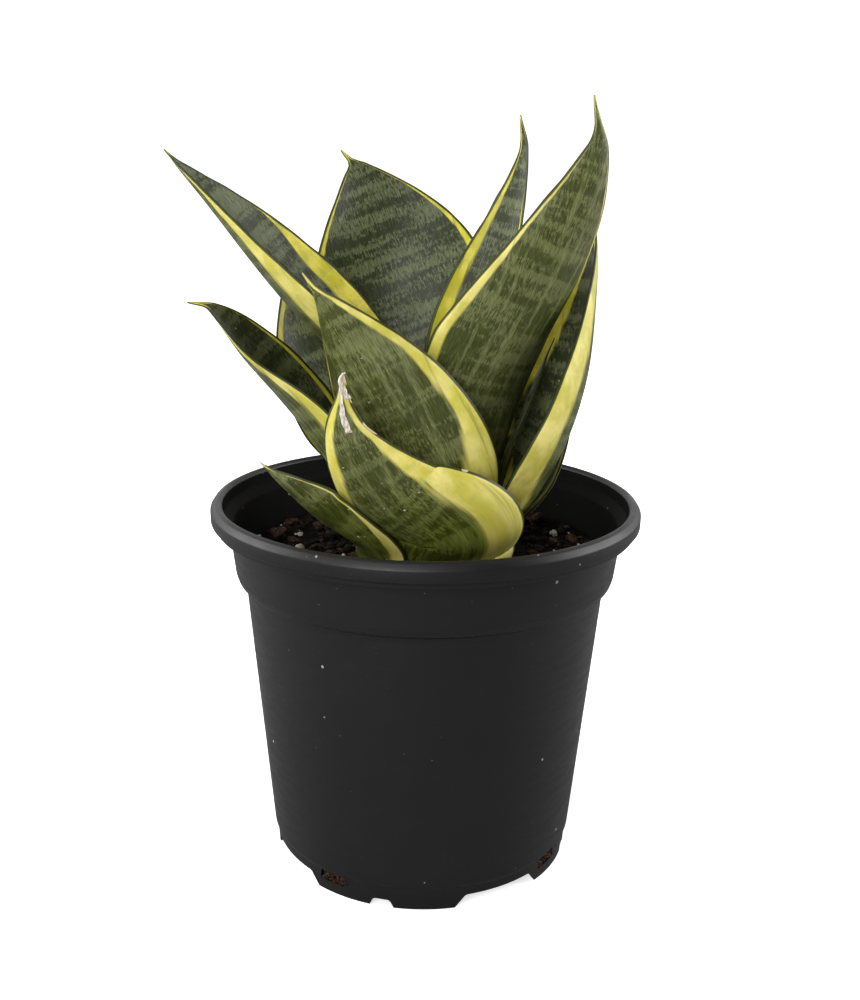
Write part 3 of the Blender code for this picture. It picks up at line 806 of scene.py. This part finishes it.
# %% Leaf pattern group
def build_leaf_group():
    """Masks for the two zones, the cross-bands, the streaks and the edge line of a leaf."""
    group, given, result = new_group(
        "leaf_pattern",
        [("Blade", "NodeSocketVector", None), ("Margin", "NodeSocketVector", None),
         ("Edge Width", "NodeSocketFloat", 0.6), ("Band Contrast", "NodeSocketFloat", 1.0)],
        [("Bands", "NodeSocketFloat"), ("Yellow", "NodeSocketFloat"), ("Edge", "NodeSocketFloat"),
         ("Fibres", "NodeSocketFloat"), ("Streaks", "NodeSocketFloat"), ("Mottling", "NodeSocketFloat"),
         ("Foot", "NodeSocketFloat")])
    blade = given.outputs["Blade"]
    fibres = cloud(group, scaled(group, blade, (24.0, 2.6, 1.0)), 1.0, 2.0, 0.6)
    grain = cloud(group, scaled(group, blade, (9.0, 6.0, 1.0)), 1.0, 4.0, 0.7)
    streaks = cloud(group, scaled(group, blade, (4.2, 0.32, 1.0), (7.0, 3.0, 0.0)), 1.0, 3.0, 0.5)
    mottling = cloud(group, scaled(group, blade, (1.1, 0.8, 1.0)), 1.0, 3.0, 0.5)
    waves = cloud(group, scaled(group, blade, (0.26, 1.9, 1.0), (2.0, 9.0, 0.0)), 1.0, 2.0, 0.5)
    patches = plus(group, times(group, grain, 0.75), times(group, fibres, 0.35))
    frayed = plus(group, waves, minus(group, patches, 0.55))
    bands = times(group, step_between(group, frayed, 0.44, 0.60), given.outputs["Band Contrast"])
    sides = add_node(group, "ShaderNodeSeparateXYZ", {0: given.outputs["Margin"]})
    nearest = calculate(group, "MINIMUM", sides.outputs["X"], sides.outputs["Y"])
    drift = times(group, minus(group, streaks, 0.5), 0.55)
    yellow = step_between(group, plus(group, nearest, drift), 0.84, 1.12, 1.0, 0.0)
    wander = times(group, minus(group, mottling, 0.5), 0.5)
    edge_place = minus(group, sides.outputs["Z"], given.outputs["Edge Width"])
    edge = step_between(group, plus(group, edge_place, wander), -0.15, 0.30, 1.0, 0.0)
    height = add_node(group, "ShaderNodeSeparateXYZ", {0: blade}).outputs["Y"]
    foot = step_between(group, plus(group, height, times(group, mottling, 2.0)), 2.2, 6.2, 1.0, 0.0)
    for label, socket in (("Bands", bands), ("Yellow", yellow), ("Edge", edge), ("Fibres", fibres),
                          ("Streaks", streaks), ("Mottling", mottling), ("Foot", foot)):
        group.links.new(socket, result.inputs[label])
    return group


LEAF_PATTERN = build_leaf_group()


# %% Leaf materials
OLIVE_TINT = colour(0.86, 0.92, 0.40)
EDGE_GREEN = colour(0.012, 0.024, 0.006)
DRY_BROWN = colour(0.42, 0.31, 0.20)
DRY_CREAM = colour(0.78, 0.70, 0.56)
LEAF_DUST = colour(0.60, 0.58, 0.50)


def make_leaf_material(name, dark, pale, yellow, deep_yellow, contrast, streaking):
    """One face of the leaves, from its two greens and its two yellows; its foot is more olive."""
    material, tree, shader = new_material(name, {"Specular IOR Level": 0.26})
    blade = add_node(tree, "ShaderNodeUVMap", uv_map="blade").outputs["UV"]
    margin = add_node(tree, "ShaderNodeAttribute", attribute_name="margin").outputs["Vector"]
    edge_width = add_node(tree, "ShaderNodeAttribute", attribute_name="edge_width").outputs["Fac"]
    dryness = add_node(tree, "ShaderNodeAttribute", attribute_name="dryness").outputs["Fac"]
    masks = add_node(tree, "ShaderNodeGroup", {"Blade": blade, "Margin": margin, "Edge Width": edge_width,
                                               "Band Contrast": contrast}, node_tree=LEAF_PATTERN).outputs
    green = mix_colours(tree, masks["Bands"], dark, pale)
    lighter = mix_colours(tree, step_between(tree, masks["Streaks"], 0.48, 0.68), green, pale)
    green = mix_colours(tree, streaking, green, lighter)
    shade = step_between(tree, masks["Fibres"], 0.3, 0.7, 0.62, 1.22)
    grey = add_node(tree, "ShaderNodeCombineColor", {0: shade, 1: shade, 2: shade}).outputs[0]
    green = mix_colours(tree, 1.0, green, grey, "MULTIPLY")
    olive = mix_colours(tree, 1.0, green, OLIVE_TINT, "MULTIPLY")
    green = mix_colours(tree, masks["Foot"], green, olive)
    sunny = mix_colours(tree, step_between(tree, masks["Mottling"], 0.35, 0.65), deep_yellow, yellow)
    thread = times(tree, step_between(tree, masks["Streaks"], 0.60, 0.72), 0.45)
    sunny = mix_colours(tree, thread, sunny, mix_colours(tree, 0.5, dark, pale))
    sunny = mix_colours(tree, times(tree, masks["Bands"], 0.18), sunny, pale)
    body = mix_colours(tree, masks["Yellow"], green, sunny)
    body = mix_colours(tree, times(tree, masks["Edge"], 0.95), body, EDGE_GREEN)
    uneven = times(tree, minus(tree, masks["Mottling"], 0.5), 0.6)
    dried = step_between(tree, plus(tree, dryness, uneven), 0.42, 0.58)
    body = mix_colours(tree, dried, body, mix_colours(tree, masks["Fibres"], DRY_BROWN, DRY_CREAM))
    body = mix_colours(tree, add_dust(tree, object_place(tree), 5.0, 0.30, 0.10), body, LEAF_DUST)
    gloss = step_between(tree, masks["Mottling"], 0.3, 0.7, 0.38, 0.52)
    gloss = plus(tree, gloss, times(tree, dried, 0.35), clamp=True)
    relief = plus(tree, masks["Fibres"], times(tree, masks["Streaks"], 1.2))
    feed(tree, shader, {"Base Color": body, "Roughness": gloss,
                        "Normal": bump(tree, relief, 0.00018, 0.55)})
    return material


UPPER_FACE = make_leaf_material(
    "leaf_upper_face", colour(0.030, 0.037, 0.013), colour(0.135, 0.155, 0.072),
    colour(0.86, 0.76, 0.11), colour(0.58, 0.53, 0.030), 0.85, 0.12)
UNDER_FACE = make_leaf_material(
    "leaf_under_face", colour(0.066, 0.080, 0.018), colour(0.235, 0.255, 0.100),
    colour(0.88, 0.78, 0.23), colour(0.64, 0.58, 0.085), 0.55, 0.65)
LEAF_EDGE = make_leaf_material(
    "leaf_edge", colour(0.022, 0.036, 0.014), colour(0.05, 0.07, 0.03),
    colour(0.05, 0.07, 0.02), colour(0.03, 0.05, 0.015), 0.3, 0.2)

# %% [markdown]
# ### Building the leaves
#
# A grid from bmesh.ops.create_grid is moved onto the rows. The Solidify modifier gives it flesh:
# a vertex group makes the blade thick along the midrib and thin at its margins, and the modifier's
# material offsets put the upper face, the under face and the edge in their own slots. The map of
# each leaf lies well apart from the others', so that no two leaves have the same pattern.

# %% Rows that are fine enough to show
ALONG = 96
ACROSS = 28
EDGE_WAVE = 0.35
EDGE_WAVE_LENGTH = 9.0
FULL_WAVE_WIDTH = 10.0


def fine_rows(leaf, shifts, seed):
    """Fine rows of a leaf: the coarse shifts carried over, and margins that are not quite even."""
    rows, widths, length = leaf_rows(leaf, ALONG, ACROSS)
    for i, row in enumerate(rows):
        t = i / ALONG
        moved = []
        for j, point in enumerate(row):
            moved.append(point + away_from_crown(point) * between(shifts, t, j / ACROSS))
        for end, inner in ((0, 1), (ACROSS, ACROSS - 1)):
            outer_way = (moved[end] - moved[inner]).normalized()
            wave = noise.noise(Vector((t * length / EDGE_WAVE_LENGTH, seed * 3.7 + end, 0.0)))
            moved[end] += outer_way * EDGE_WAVE * wave * min(1.0, widths[i] / FULL_WAVE_WIDTH)
        rows[i] = moved
    return rows, widths, length


# %% Measures that a leaf carries
EDGE_LINE = 0.85
EDGE_LINE_SHARE = 0.12
MARGIN_SHARE = 0.30
FLESH_ROUNDING = 0.7
TIP_THINNING = 0.45
THREAD_SHARE = 0.35
FULL_FLESH_WIDTH = 12.0
MM_PER_CM = 10.0
MAP_SPACING = 37.0


def leaf_dryness(leaf, t, from_first, from_last, length):
    """How dried a spot of a leaf is, from 0 to 1: a torn tip, or scabs along a margin."""
    dry = 0.0
    if "dry_tip" in leaf:
        dry = max(0.0, 1 - (1 - t) * length / leaf["dry_tip"])
    for start, end, reach in leaf.get("scabs", ()):
        if start < t < end:
            inside = min(t - start, end - t) / (end - start) * 2
            dry = max(dry, min(1.0, inside * 3) * max(0.0, 1 - from_last / reach))
    return dry


def leaf_bmesh(rows, widths, length, leaf, seed):
    """Lay a grid over the rows and write the measures that the finishes read."""
    bm = bmesh.new()
    bmesh.ops.create_grid(bm, x_segments=ACROSS, y_segments=ALONG, size=0.5)
    blade = bm.loops.layers.uv.new("blade")
    margin = bm.verts.layers.float_vector.new("margin")
    edge_width = bm.verts.layers.float.new("edge_width")
    dryness = bm.verts.layers.float.new("dryness")
    weights = bm.verts.layers.deform.verify()
    flat = {}
    for vert in bm.verts:
        column = round((vert.co.x + 0.5) * ACROSS)
        row = round((vert.co.y + 0.5) * ALONG)
        t = row / ALONG
        width = widths[row]
        from_first = width * column / ACROSS
        from_last = width - from_first
        vert[margin] = (from_first / blend(leaf["first_band"], t), from_last / blend(leaf["last_band"], t),
                        min(from_first, from_last))
        vert[edge_width] = min(EDGE_LINE, width * EDGE_LINE_SHARE)
        vert[dryness] = leaf_dryness(leaf, t, from_first, from_last, length)
        middle = sin(pi * column / ACROSS) ** FLESH_ROUNDING
        thick = (MARGIN_SHARE + (1 - MARGIN_SHARE) * middle) * (1 - TIP_THINNING * t)
        vert[weights][0] = thick * min(1.0, THREAD_SHARE + width / FULL_FLESH_WIDTH)
        flat[vert] = ((from_first - width / 2) / MM_PER_CM + seed * MAP_SPACING, t * length / MM_PER_CM)
        vert.co = rows[row][column]
    for face in bm.faces:
        for loop in face.loops:
            loop[blade].uv = flat[loop.vert]
    return bm


# %% Leaf pieces
LEAF_THICKNESS = 2.3


def make_leaves():
    """All leaves, from the heart outwards, each nested round the ones before it."""
    sheets = []
    placed = {}
    for seed, (name, leaf) in enumerate(LEAVES.items()):
        coarse, _, _ = leaf_rows(leaf, COARSE_ALONG, COARSE_ACROSS)
        shifts = nest(coarse, sheets)
        sheets.append(widened(coarse))
        rows, widths, length = fine_rows(leaf, shifts, seed)
        bm = leaf_bmesh(rows, widths, length, leaf, seed)
        piece = make_piece(name + "_blade", bm, [UNDER_FACE, UPPER_FACE, LEAF_EDGE], [name])
        piece.vertex_groups.new(name="flesh")
        solidify = piece.modifiers.new("flesh", "SOLIDIFY")
        solidify.thickness = LEAF_THICKNESS * MM
        solidify.offset = 0.0
        solidify.vertex_group = "flesh"
        solidify.thickness_vertex_group = 0.0
        solidify.material_offset = 1
        solidify.material_offset_rim = 2
        placed[name] = rows
        print(f"{name}: {length:.0f} mm long, pushed out by up to {max(max(r) for r in shifts):.1f} mm")
    return placed


leaf_surfaces = make_leaves()

# %% [markdown]
# ## Potting mix
#
# The mix is bark, peat and a little perlite. From above it reads as a dark, crumbly ground with
# single bits lying on it, and never as a smooth disc. The ground is a turned root ball whose top
# is pushed up and down by noise. On it lie hundreds of small bits, each a rough ball of twenty
# faces, joined into one piece for each kind. The frame's own chips and grains are finer balls.

# %% Root ball
MIX_Z = 116.0
MIX_RADIUS = BAND_FOOT_RADIUS - WALL - 0.6
MIX_RINGS = 60
MIX_STEPS = 180
CRUMB_SIZE = 3.4
CRUMB_LIFT = 1.5
LUMP_SIZE = 14.0
LUMP_LIFT = 1.1
FINE_SIZE = CRUMB_SIZE / 2.2
FINE_LIFT = 0.5
MIX_GAP = 0.5


# %% Crumbly ground
def mix_height(x, y):
    """Height of the crumbly ground at a place in millimetres from the pot's axis."""
    lumps, crumbs, fine = (noise.noise(Vector((x / size, y / size, layer))) for size, layer in
                           ((LUMP_SIZE, 3.0), (CRUMB_SIZE, 8.0), (FINE_SIZE, 1.0)))
    return MIX_Z + LUMP_LIFT * lumps + CRUMB_LIFT * (abs(crumbs) - 0.2) + FINE_LIFT * fine


# %% Damp mix, turned and dressed
def make_mix_material():
    """Damp peat and bark dust: nearly black, with browner crumbs."""
    material, tree, shader = new_material("damp_potting_mix", {"Roughness": 0.95, "Specular IOR Level": 0.1})
    place = object_place(tree)
    clods = cloud(tree, place, 320.0, 5.0, 0.7)
    fibres = cloud(tree, place, 1500.0, 3.0, 0.6)
    browned = mix_colours(tree, step_between(tree, clods, 0.42, 0.66), colour(0.0012, 0.0009, 0.0008),
                          colour(0.007, 0.0042, 0.0026))
    flecked = mix_colours(tree, step_between(tree, fibres, 0.64, 0.72, 0.0, 0.4), browned,
                          colour(0.06, 0.038, 0.022))
    relief = bump(tree, plus(tree, clods, fibres), 0.0008, 0.9)
    feed(tree, shader, {"Base Color": flecked, "Normal": relief})
    return material


def make_root_ball():
    """The mix as it stands in the pot, a hair clear of the wall, with a crumbly top."""
    section = [(MIX_RADIUS * ring / MIX_RINGS, MIX_Z) for ring in range(MIX_RINGS + 1)]
    section += [(MIX_RADIUS, SHOULDER_Z + 3.2), (MIX_RADIUS - 1.2, SHOULDER_Z + 1.4),
                (WALL_TOP_RADIUS - WALL - MIX_GAP, SHOULDER_Z - 1.4),
                (BASE_RADIUS - WALL - MIX_GAP, FLOOR_TOP_Z + 3.4),
                (BASE_RADIUS - WALL - 4.5, FLOOR_TOP_Z + MIX_GAP), (0.0, FLOOR_TOP_Z + MIX_GAP)]
    bm = turn_section(section, MIX_STEPS)
    for vert in bm.verts:
        if abs(vert.co.z - MIX_Z) < 0.01:
            vert.co.z = mix_height(vert.co.x, vert.co.y)
    return make_piece("root_ball", bm, [make_mix_material()], ["potting_mix"])


root_ball = make_root_ball()
print("root ball faces:", len(root_ball.data.polygons))


# %% Rough bits
BIT_LUMPS = ((1.3, 0.55), (3.5, 0.22))
BIT_SINK = 0.1
HEART_RADIUS = 20.0
LEAF_BASES_RADIUS = 31.0


def add_bit(bm, place, size, flat, stretch, rng, detail=1):
    """One rough grain: a small ball, dented by coarse and fine lumps, flattened, stretched and turned."""
    ball = bmesh.ops.create_icosphere(bm, subdivisions=detail, radius=size / 2)["verts"]
    seed = Vector((rng.uniform(0, 99), rng.uniform(0, 99), rng.uniform(0, 99)))
    for vert in ball:
        way = vert.co.normalized()
        vert.co *= 1.0 + sum(depth * noise.noise(way * rate + seed) for rate, depth in BIT_LUMPS)
        vert.co.x *= stretch
        vert.co.z *= flat
    turn = Matrix.Rotation(rng.uniform(0, 2 * pi), 4, "Z") @ Matrix.Rotation(rng.uniform(-0.5, 0.5), 4, "X")
    turn = turn @ Matrix.Rotation(rng.uniform(-0.35, 0.35), 4, "Y")
    bmesh.ops.transform(bm, matrix=Matrix.Translation(place) @ turn, verts=ball)


def random_place(rng, nearest, furthest):
    """A place on the ground between two distances, evenly spread, clear of the leaf bases."""
    while True:
        radius = (rng.uniform(nearest ** 2, furthest ** 2)) ** 0.5
        azimuth = rng.uniform(0, 2 * pi)
        x, y = radius * cos(azimuth), radius * sin(azimuth)
        if (Vector((x, y, 0.0)) - CROWN).length > LEAF_BASES_RADIUS:
            return x, y


def make_bits(name, material, count, sizes, flat, stretch, seed):
    """Scatter one kind of bit over the ground, as one piece."""
    rng = random.Random(seed)
    bm = bmesh.new()
    for _ in range(count):
        size = sizes[0] + (sizes[1] - sizes[0]) * rng.random() ** 2
        x, y = random_place(rng, HEART_RADIUS, MIX_RADIUS - size * stretch / 2 - 0.4)
        place = Vector((x, y, mix_height(x, y) + size * flat * (0.5 - BIT_SINK)))
        add_bit(bm, place, size, flat, rng.uniform(1.0, stretch), rng)
    piece = make_piece(name, bm, [material])
    print(f"{name}: {count} bits, {len(piece.data.polygons)} faces")


# %% Bark, crumbs and perlite finishes
def make_grain_material(name, dark, middle, light, scale):
    """A rough grain whose colour drifts between three shades from bit to bit and across each bit."""
    material, tree, shader = new_material(name, {"Roughness": 0.9, "Specular IOR Level": 0.2})
    place = object_place(tree)
    drift = cloud(tree, place, scale, 2.0, 0.5)
    detail = cloud(tree, scaled(tree, place, (1.0, 1.0, 2.5)), scale * 7.0, 4.0, 0.65)
    body = mix_colours(tree, step_between(tree, drift, 0.36, 0.64), dark, middle)
    body = mix_colours(tree, step_between(tree, detail, 0.50, 0.72), body, light)
    feed(tree, shader, {"Base Color": body, "Normal": bump(tree, detail, 0.0006, 0.8)})
    return material


BARK = make_grain_material("split_bark", colour(0.006, 0.0035, 0.0026), colour(0.040, 0.017, 0.009),
                           colour(0.20, 0.11, 0.06), 190.0)
PEAT = make_grain_material("peat_crumb", colour(0.003, 0.0022, 0.0017), colour(0.010, 0.0065, 0.0042),
                           colour(0.035, 0.021, 0.013), 260.0)
PERLITE = make_grain_material("perlite", colour(0.36, 0.32, 0.24), colour(0.52, 0.48, 0.38),
                              colour(0.70, 0.68, 0.60), 260.0)
make_bits("peat_crumbs", PEAT, 620, (1.2, 4.2), 0.75, 1.5, seed=11)
make_bits("bark_bits", BARK, 130, (1.8, 6.2), 0.5, 1.9, seed=23)
make_bits("perlite_bits", PERLITE, 46, (0.8, 2.6), 0.85, 1.15, seed=31)


# %% The frame's own chips and grains
def make_node_bit(node, material, seed, flat, stretch):
    """A finer bit in the place of one of the frame's, about as large as its box."""
    low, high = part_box(node)
    middle = ((low + high) / 2 - POT_AXIS) / MM
    size = ((high.x - low.x) + (high.y - low.y)) / 2 / MM
    bm = bmesh.new()
    add_bit(bm, middle, size, flat, stretch, random.Random(seed), detail=3)
    make_piece(node + "_rough", bm, [material], [node])


for kind, material, slot, first_seed, flat, stretch in (
        ("bark_chip", BARK, "bark", 0, 0.55, 1.2), ("perlite_grain", PERLITE, "perlite", 50, 0.8, 1.05)):
    nodes = [node for node in sorted(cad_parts) if node.startswith(kind)]
    for seed, node in enumerate(nodes, first_seed):
        make_node_bit(node, material, seed, flat, stretch)
    print(f"{kind}: {len(nodes)}")


# %% Fibres
def add_thread(bm, points, radius):
    """A thin five-sided fibre along a list of points, closed with a flat cap at both ends."""
    ring = bmesh.ops.create_circle(bm, cap_ends=False, segments=5, radius=radius)["verts"]
    way = (points[1] - points[0]).to_track_quat("Z", "Y").to_matrix().to_4x4()
    bmesh.ops.transform(bm, matrix=Matrix.Translation(points[0]) @ way, verts=ring)
    edges = list(dict.fromkeys(edge for vert in ring for edge in vert.link_edges))
    bmesh.ops.contextual_create(bm, geom=edges)
    for before, after in zip(points, points[1:]):
        made = bmesh.ops.extrude_edge_only(bm, edges=edges)["geom"]
        edges = [item for item in made if isinstance(item, bmesh.types.BMEdge)]
        ring = [item for item in made if isinstance(item, bmesh.types.BMVert)]
        bmesh.ops.translate(bm, vec=after - before, verts=ring)
    bmesh.ops.contextual_create(bm, geom=edges)


def wandering(rng, start, heading, steps, stride, rise):
    """Points of a fibre that wanders over the ground."""
    points = [start]
    for _ in range(steps):
        heading += rng.uniform(-0.6, 0.6)
        last = points[-1]
        x, y = last.x + stride * cos(heading), last.y + stride * sin(heading)
        points.append(Vector((x, y, last.z + rng.uniform(-rise, rise))))
    return points


# %% Rootlets
ROOTLETS = 34
ROOTLET_LIFT = 0.9


def make_rootlets():
    """Thin dead roots that lie loose on the mix."""
    rng = random.Random(47)
    bm = bmesh.new()
    for _ in range(ROOTLETS):
        x, y = random_place(rng, 30.0, MIX_RADIUS - 9.0)
        start = Vector((x, y, mix_height(x, y) + ROOTLET_LIFT))
        add_thread(bm, wandering(rng, start, rng.uniform(0, 2 * pi), 6, 1.3, 0.45), rng.uniform(0.10, 0.28))
    bmesh.ops.recalc_face_normals(bm, faces=bm.faces)
    return make_piece("rootlets", bm, [BARK])


# %% Coir in the drain slots
COIR_CRUMBS = (90, 64, 64, 64)
COIR_RADIUS = 55.0


def make_coir():
    """Brown fibre and crumbs that show in the drain slots, most of all in the front left one."""
    rng = random.Random(61)
    bm = bmesh.new()
    for index, count in enumerate(COIR_CRUMBS):
        azimuth = radians(FIRST_PAIR_AZIMUTH + DRAIN_TURN + index * 360.0 / FOOT_PAIRS)
        for _ in range(count):
            spot = azimuth + rng.uniform(-0.11, 0.11)
            radius = rng.uniform(COIR_RADIUS - 3.0, COIR_RADIUS + 1.0)
            place = Vector((radius * cos(spot), radius * sin(spot), rng.uniform(4.4, 7.7)))
            add_bit(bm, place, rng.uniform(1.2, 2.6), 0.75, 1.5, rng)
        for _ in range(count // 4):
            spot = azimuth + rng.uniform(-0.09, 0.07)
            start = Vector((COIR_RADIUS * cos(spot), COIR_RADIUS * sin(spot), rng.uniform(5.4, 7.4)))
            add_thread(bm, wandering(rng, start, azimuth + rng.uniform(1.0, 2.1), 5, 0.9, 0.35), 0.16)
    bmesh.ops.recalc_face_normals(bm, faces=bm.faces)
    return make_piece("coir_in_drains", bm, [BARK])


rootlets = make_rootlets()
coir = make_coir()
print("rootlet faces:", len(rootlets.data.polygons), "coir faces:", len(coir.data.polygons))

# %% [markdown]
# ## Old damage
#
# The widest front leaf has lost its tip: what is left has dried to paper, and one strip of it has
# peeled and lies on the blade. Dried skin is as thin as paper, so both bits are single sheets
# with a hair of thickness. The sheet that lies on the blade follows the blade's own rows.

# %% Dried skin
SKIN_THICKNESS = 0.18


def make_papery_material():
    """Cream paper with fine creases."""
    material, tree, shader = new_material("dried_leaf_skin", {"Roughness": 0.8})
    place = object_place(tree)
    creases = cloud(tree, scaled(tree, place, (1.0, 1.0, 0.35)), 1500.0, 3.0, 0.6)
    body = mix_colours(tree, step_between(tree, creases, 0.35, 0.65), colour(0.52, 0.43, 0.32),
                       colour(0.95, 0.90, 0.80))
    feed(tree, shader, {"Base Color": body, "Normal": bump(tree, creases, 0.0003, 0.8)})
    return material


PAPERY = make_papery_material()


def make_skin(name, bm):
    """A sheet of dried skin with a hair of thickness."""
    piece = make_piece(name, bm, [PAPERY])
    skin = piece.modifiers.new("skin", "SOLIDIFY")
    skin.thickness = SKIN_THICKNESS * MM
    skin.offset = 0.0


# %% Hook at the tip
HOOK_END = 0.999
HOOK_WIDTH = 2.4
HOOK_CUP = 1.6


def make_dried_hook(rows):
    """The shrivelled end of the leaf: a tapering ribbon that hooks upwards."""
    tip = rows[-1][ACROSS // 2]
    path = [Vector((1.2, -0.2, -8.4)), Vector((0.4, -0.6, -5.6)), Vector((-0.7, -0.9, -3.0)),
            Vector((-0.5, -1.0, -1.0)), Vector((0.9, -1.0, 0.2))]
    bm = bmesh.new()
    bmesh.ops.create_grid(bm, x_segments=4, y_segments=14, size=0.5)
    for vert in bm.verts:
        across, t = vert.co.x, vert.co.y + 0.5
        middle = along_midrib(path, min(t, HOOK_END))
        width = HOOK_WIDTH * (1 - t) + 0.35 + 0.5 * noise.noise(Vector((t * 6, across * 3, 0)))
        cupped = HOOK_CUP * across * across * width + 0.3 * sin(9 * t)
        vert.co = tip + middle + Vector((across * width, cupped, 0.0))
    make_skin("dried_tip_hook", bm)


# %% Peeled strip
STRIP_START = 0.775
STRIP_END = 0.985
STRIP_LIFT = 1.15


def on_blade(rows, t, share):
    """The point on a blade at t along it and at a share of the way across it."""
    row, column = int(t * ALONG), int(share * ACROSS)
    here, there = (points[column].lerp(points[min(column + 1, ACROSS)], share * ACROSS - column)
                   for points in (rows[row], rows[min(row + 1, ALONG)]))
    return here.lerp(there, t * ALONG - row)


def make_peeled_strip(rows):
    """A strip of skin on the blade's under face, below the tip, with a ragged outline."""
    bm = bmesh.new()
    bmesh.ops.create_grid(bm, x_segments=8, y_segments=22, size=0.5)
    for vert in bm.verts:
        across, s = vert.co.x, vert.co.y + 0.5
        t = STRIP_START + (STRIP_END - STRIP_START) * s
        ragged = 0.5 * noise.noise(Vector((s * 7.0, 2.0 if across > 0 else 9.0, 0.0)))
        share = 0.53 + 0.12 * (1 - s) + across * (0.13 + 0.20 * ragged + 0.14 * s)
        place = on_blade(rows, t, min(max(share, 0.02), 0.98))
        crease = 0.35 * noise.noise(Vector((across * 5, s * 9, 5.0)))
        vert.co = place + away_from_crown(place) * (STRIP_LIFT + crease + 0.5 * abs(across))
    make_skin("peeled_strip", bm)


make_dried_hook(leaf_surfaces["leaf_front_wide"])
make_peeled_strip(leaf_surfaces["leaf_front_wide"])
print("dried skin: a hook at the tip and a peeled strip")

# %% Bits of mix on the leaves
SPLASHED_LEAVES = ("leaf_front_low", "leaf_front_wide", "leaf_front_middle")
GRAINS_PER_LEAF = 5


def make_leaf_specks():
    """A few pale grains that were splashed onto the leaves when the plant was watered."""
    rng = random.Random(71)
    bm = bmesh.new()
    for name in SPLASHED_LEAVES:
        for _ in range(GRAINS_PER_LEAF):
            spot = leaf_surfaces[name][rng.randint(8, 70)][rng.randint(3, ACROSS - 3)]
            place = spot + away_from_crown(spot) * LEAF_THICKNESS / 2
            add_bit(bm, place, rng.uniform(0.5, 1.3), 0.8, 1.2, rng)
    make_piece("grains_on_leaves", bm, [PERLITE])


make_leaf_specks()
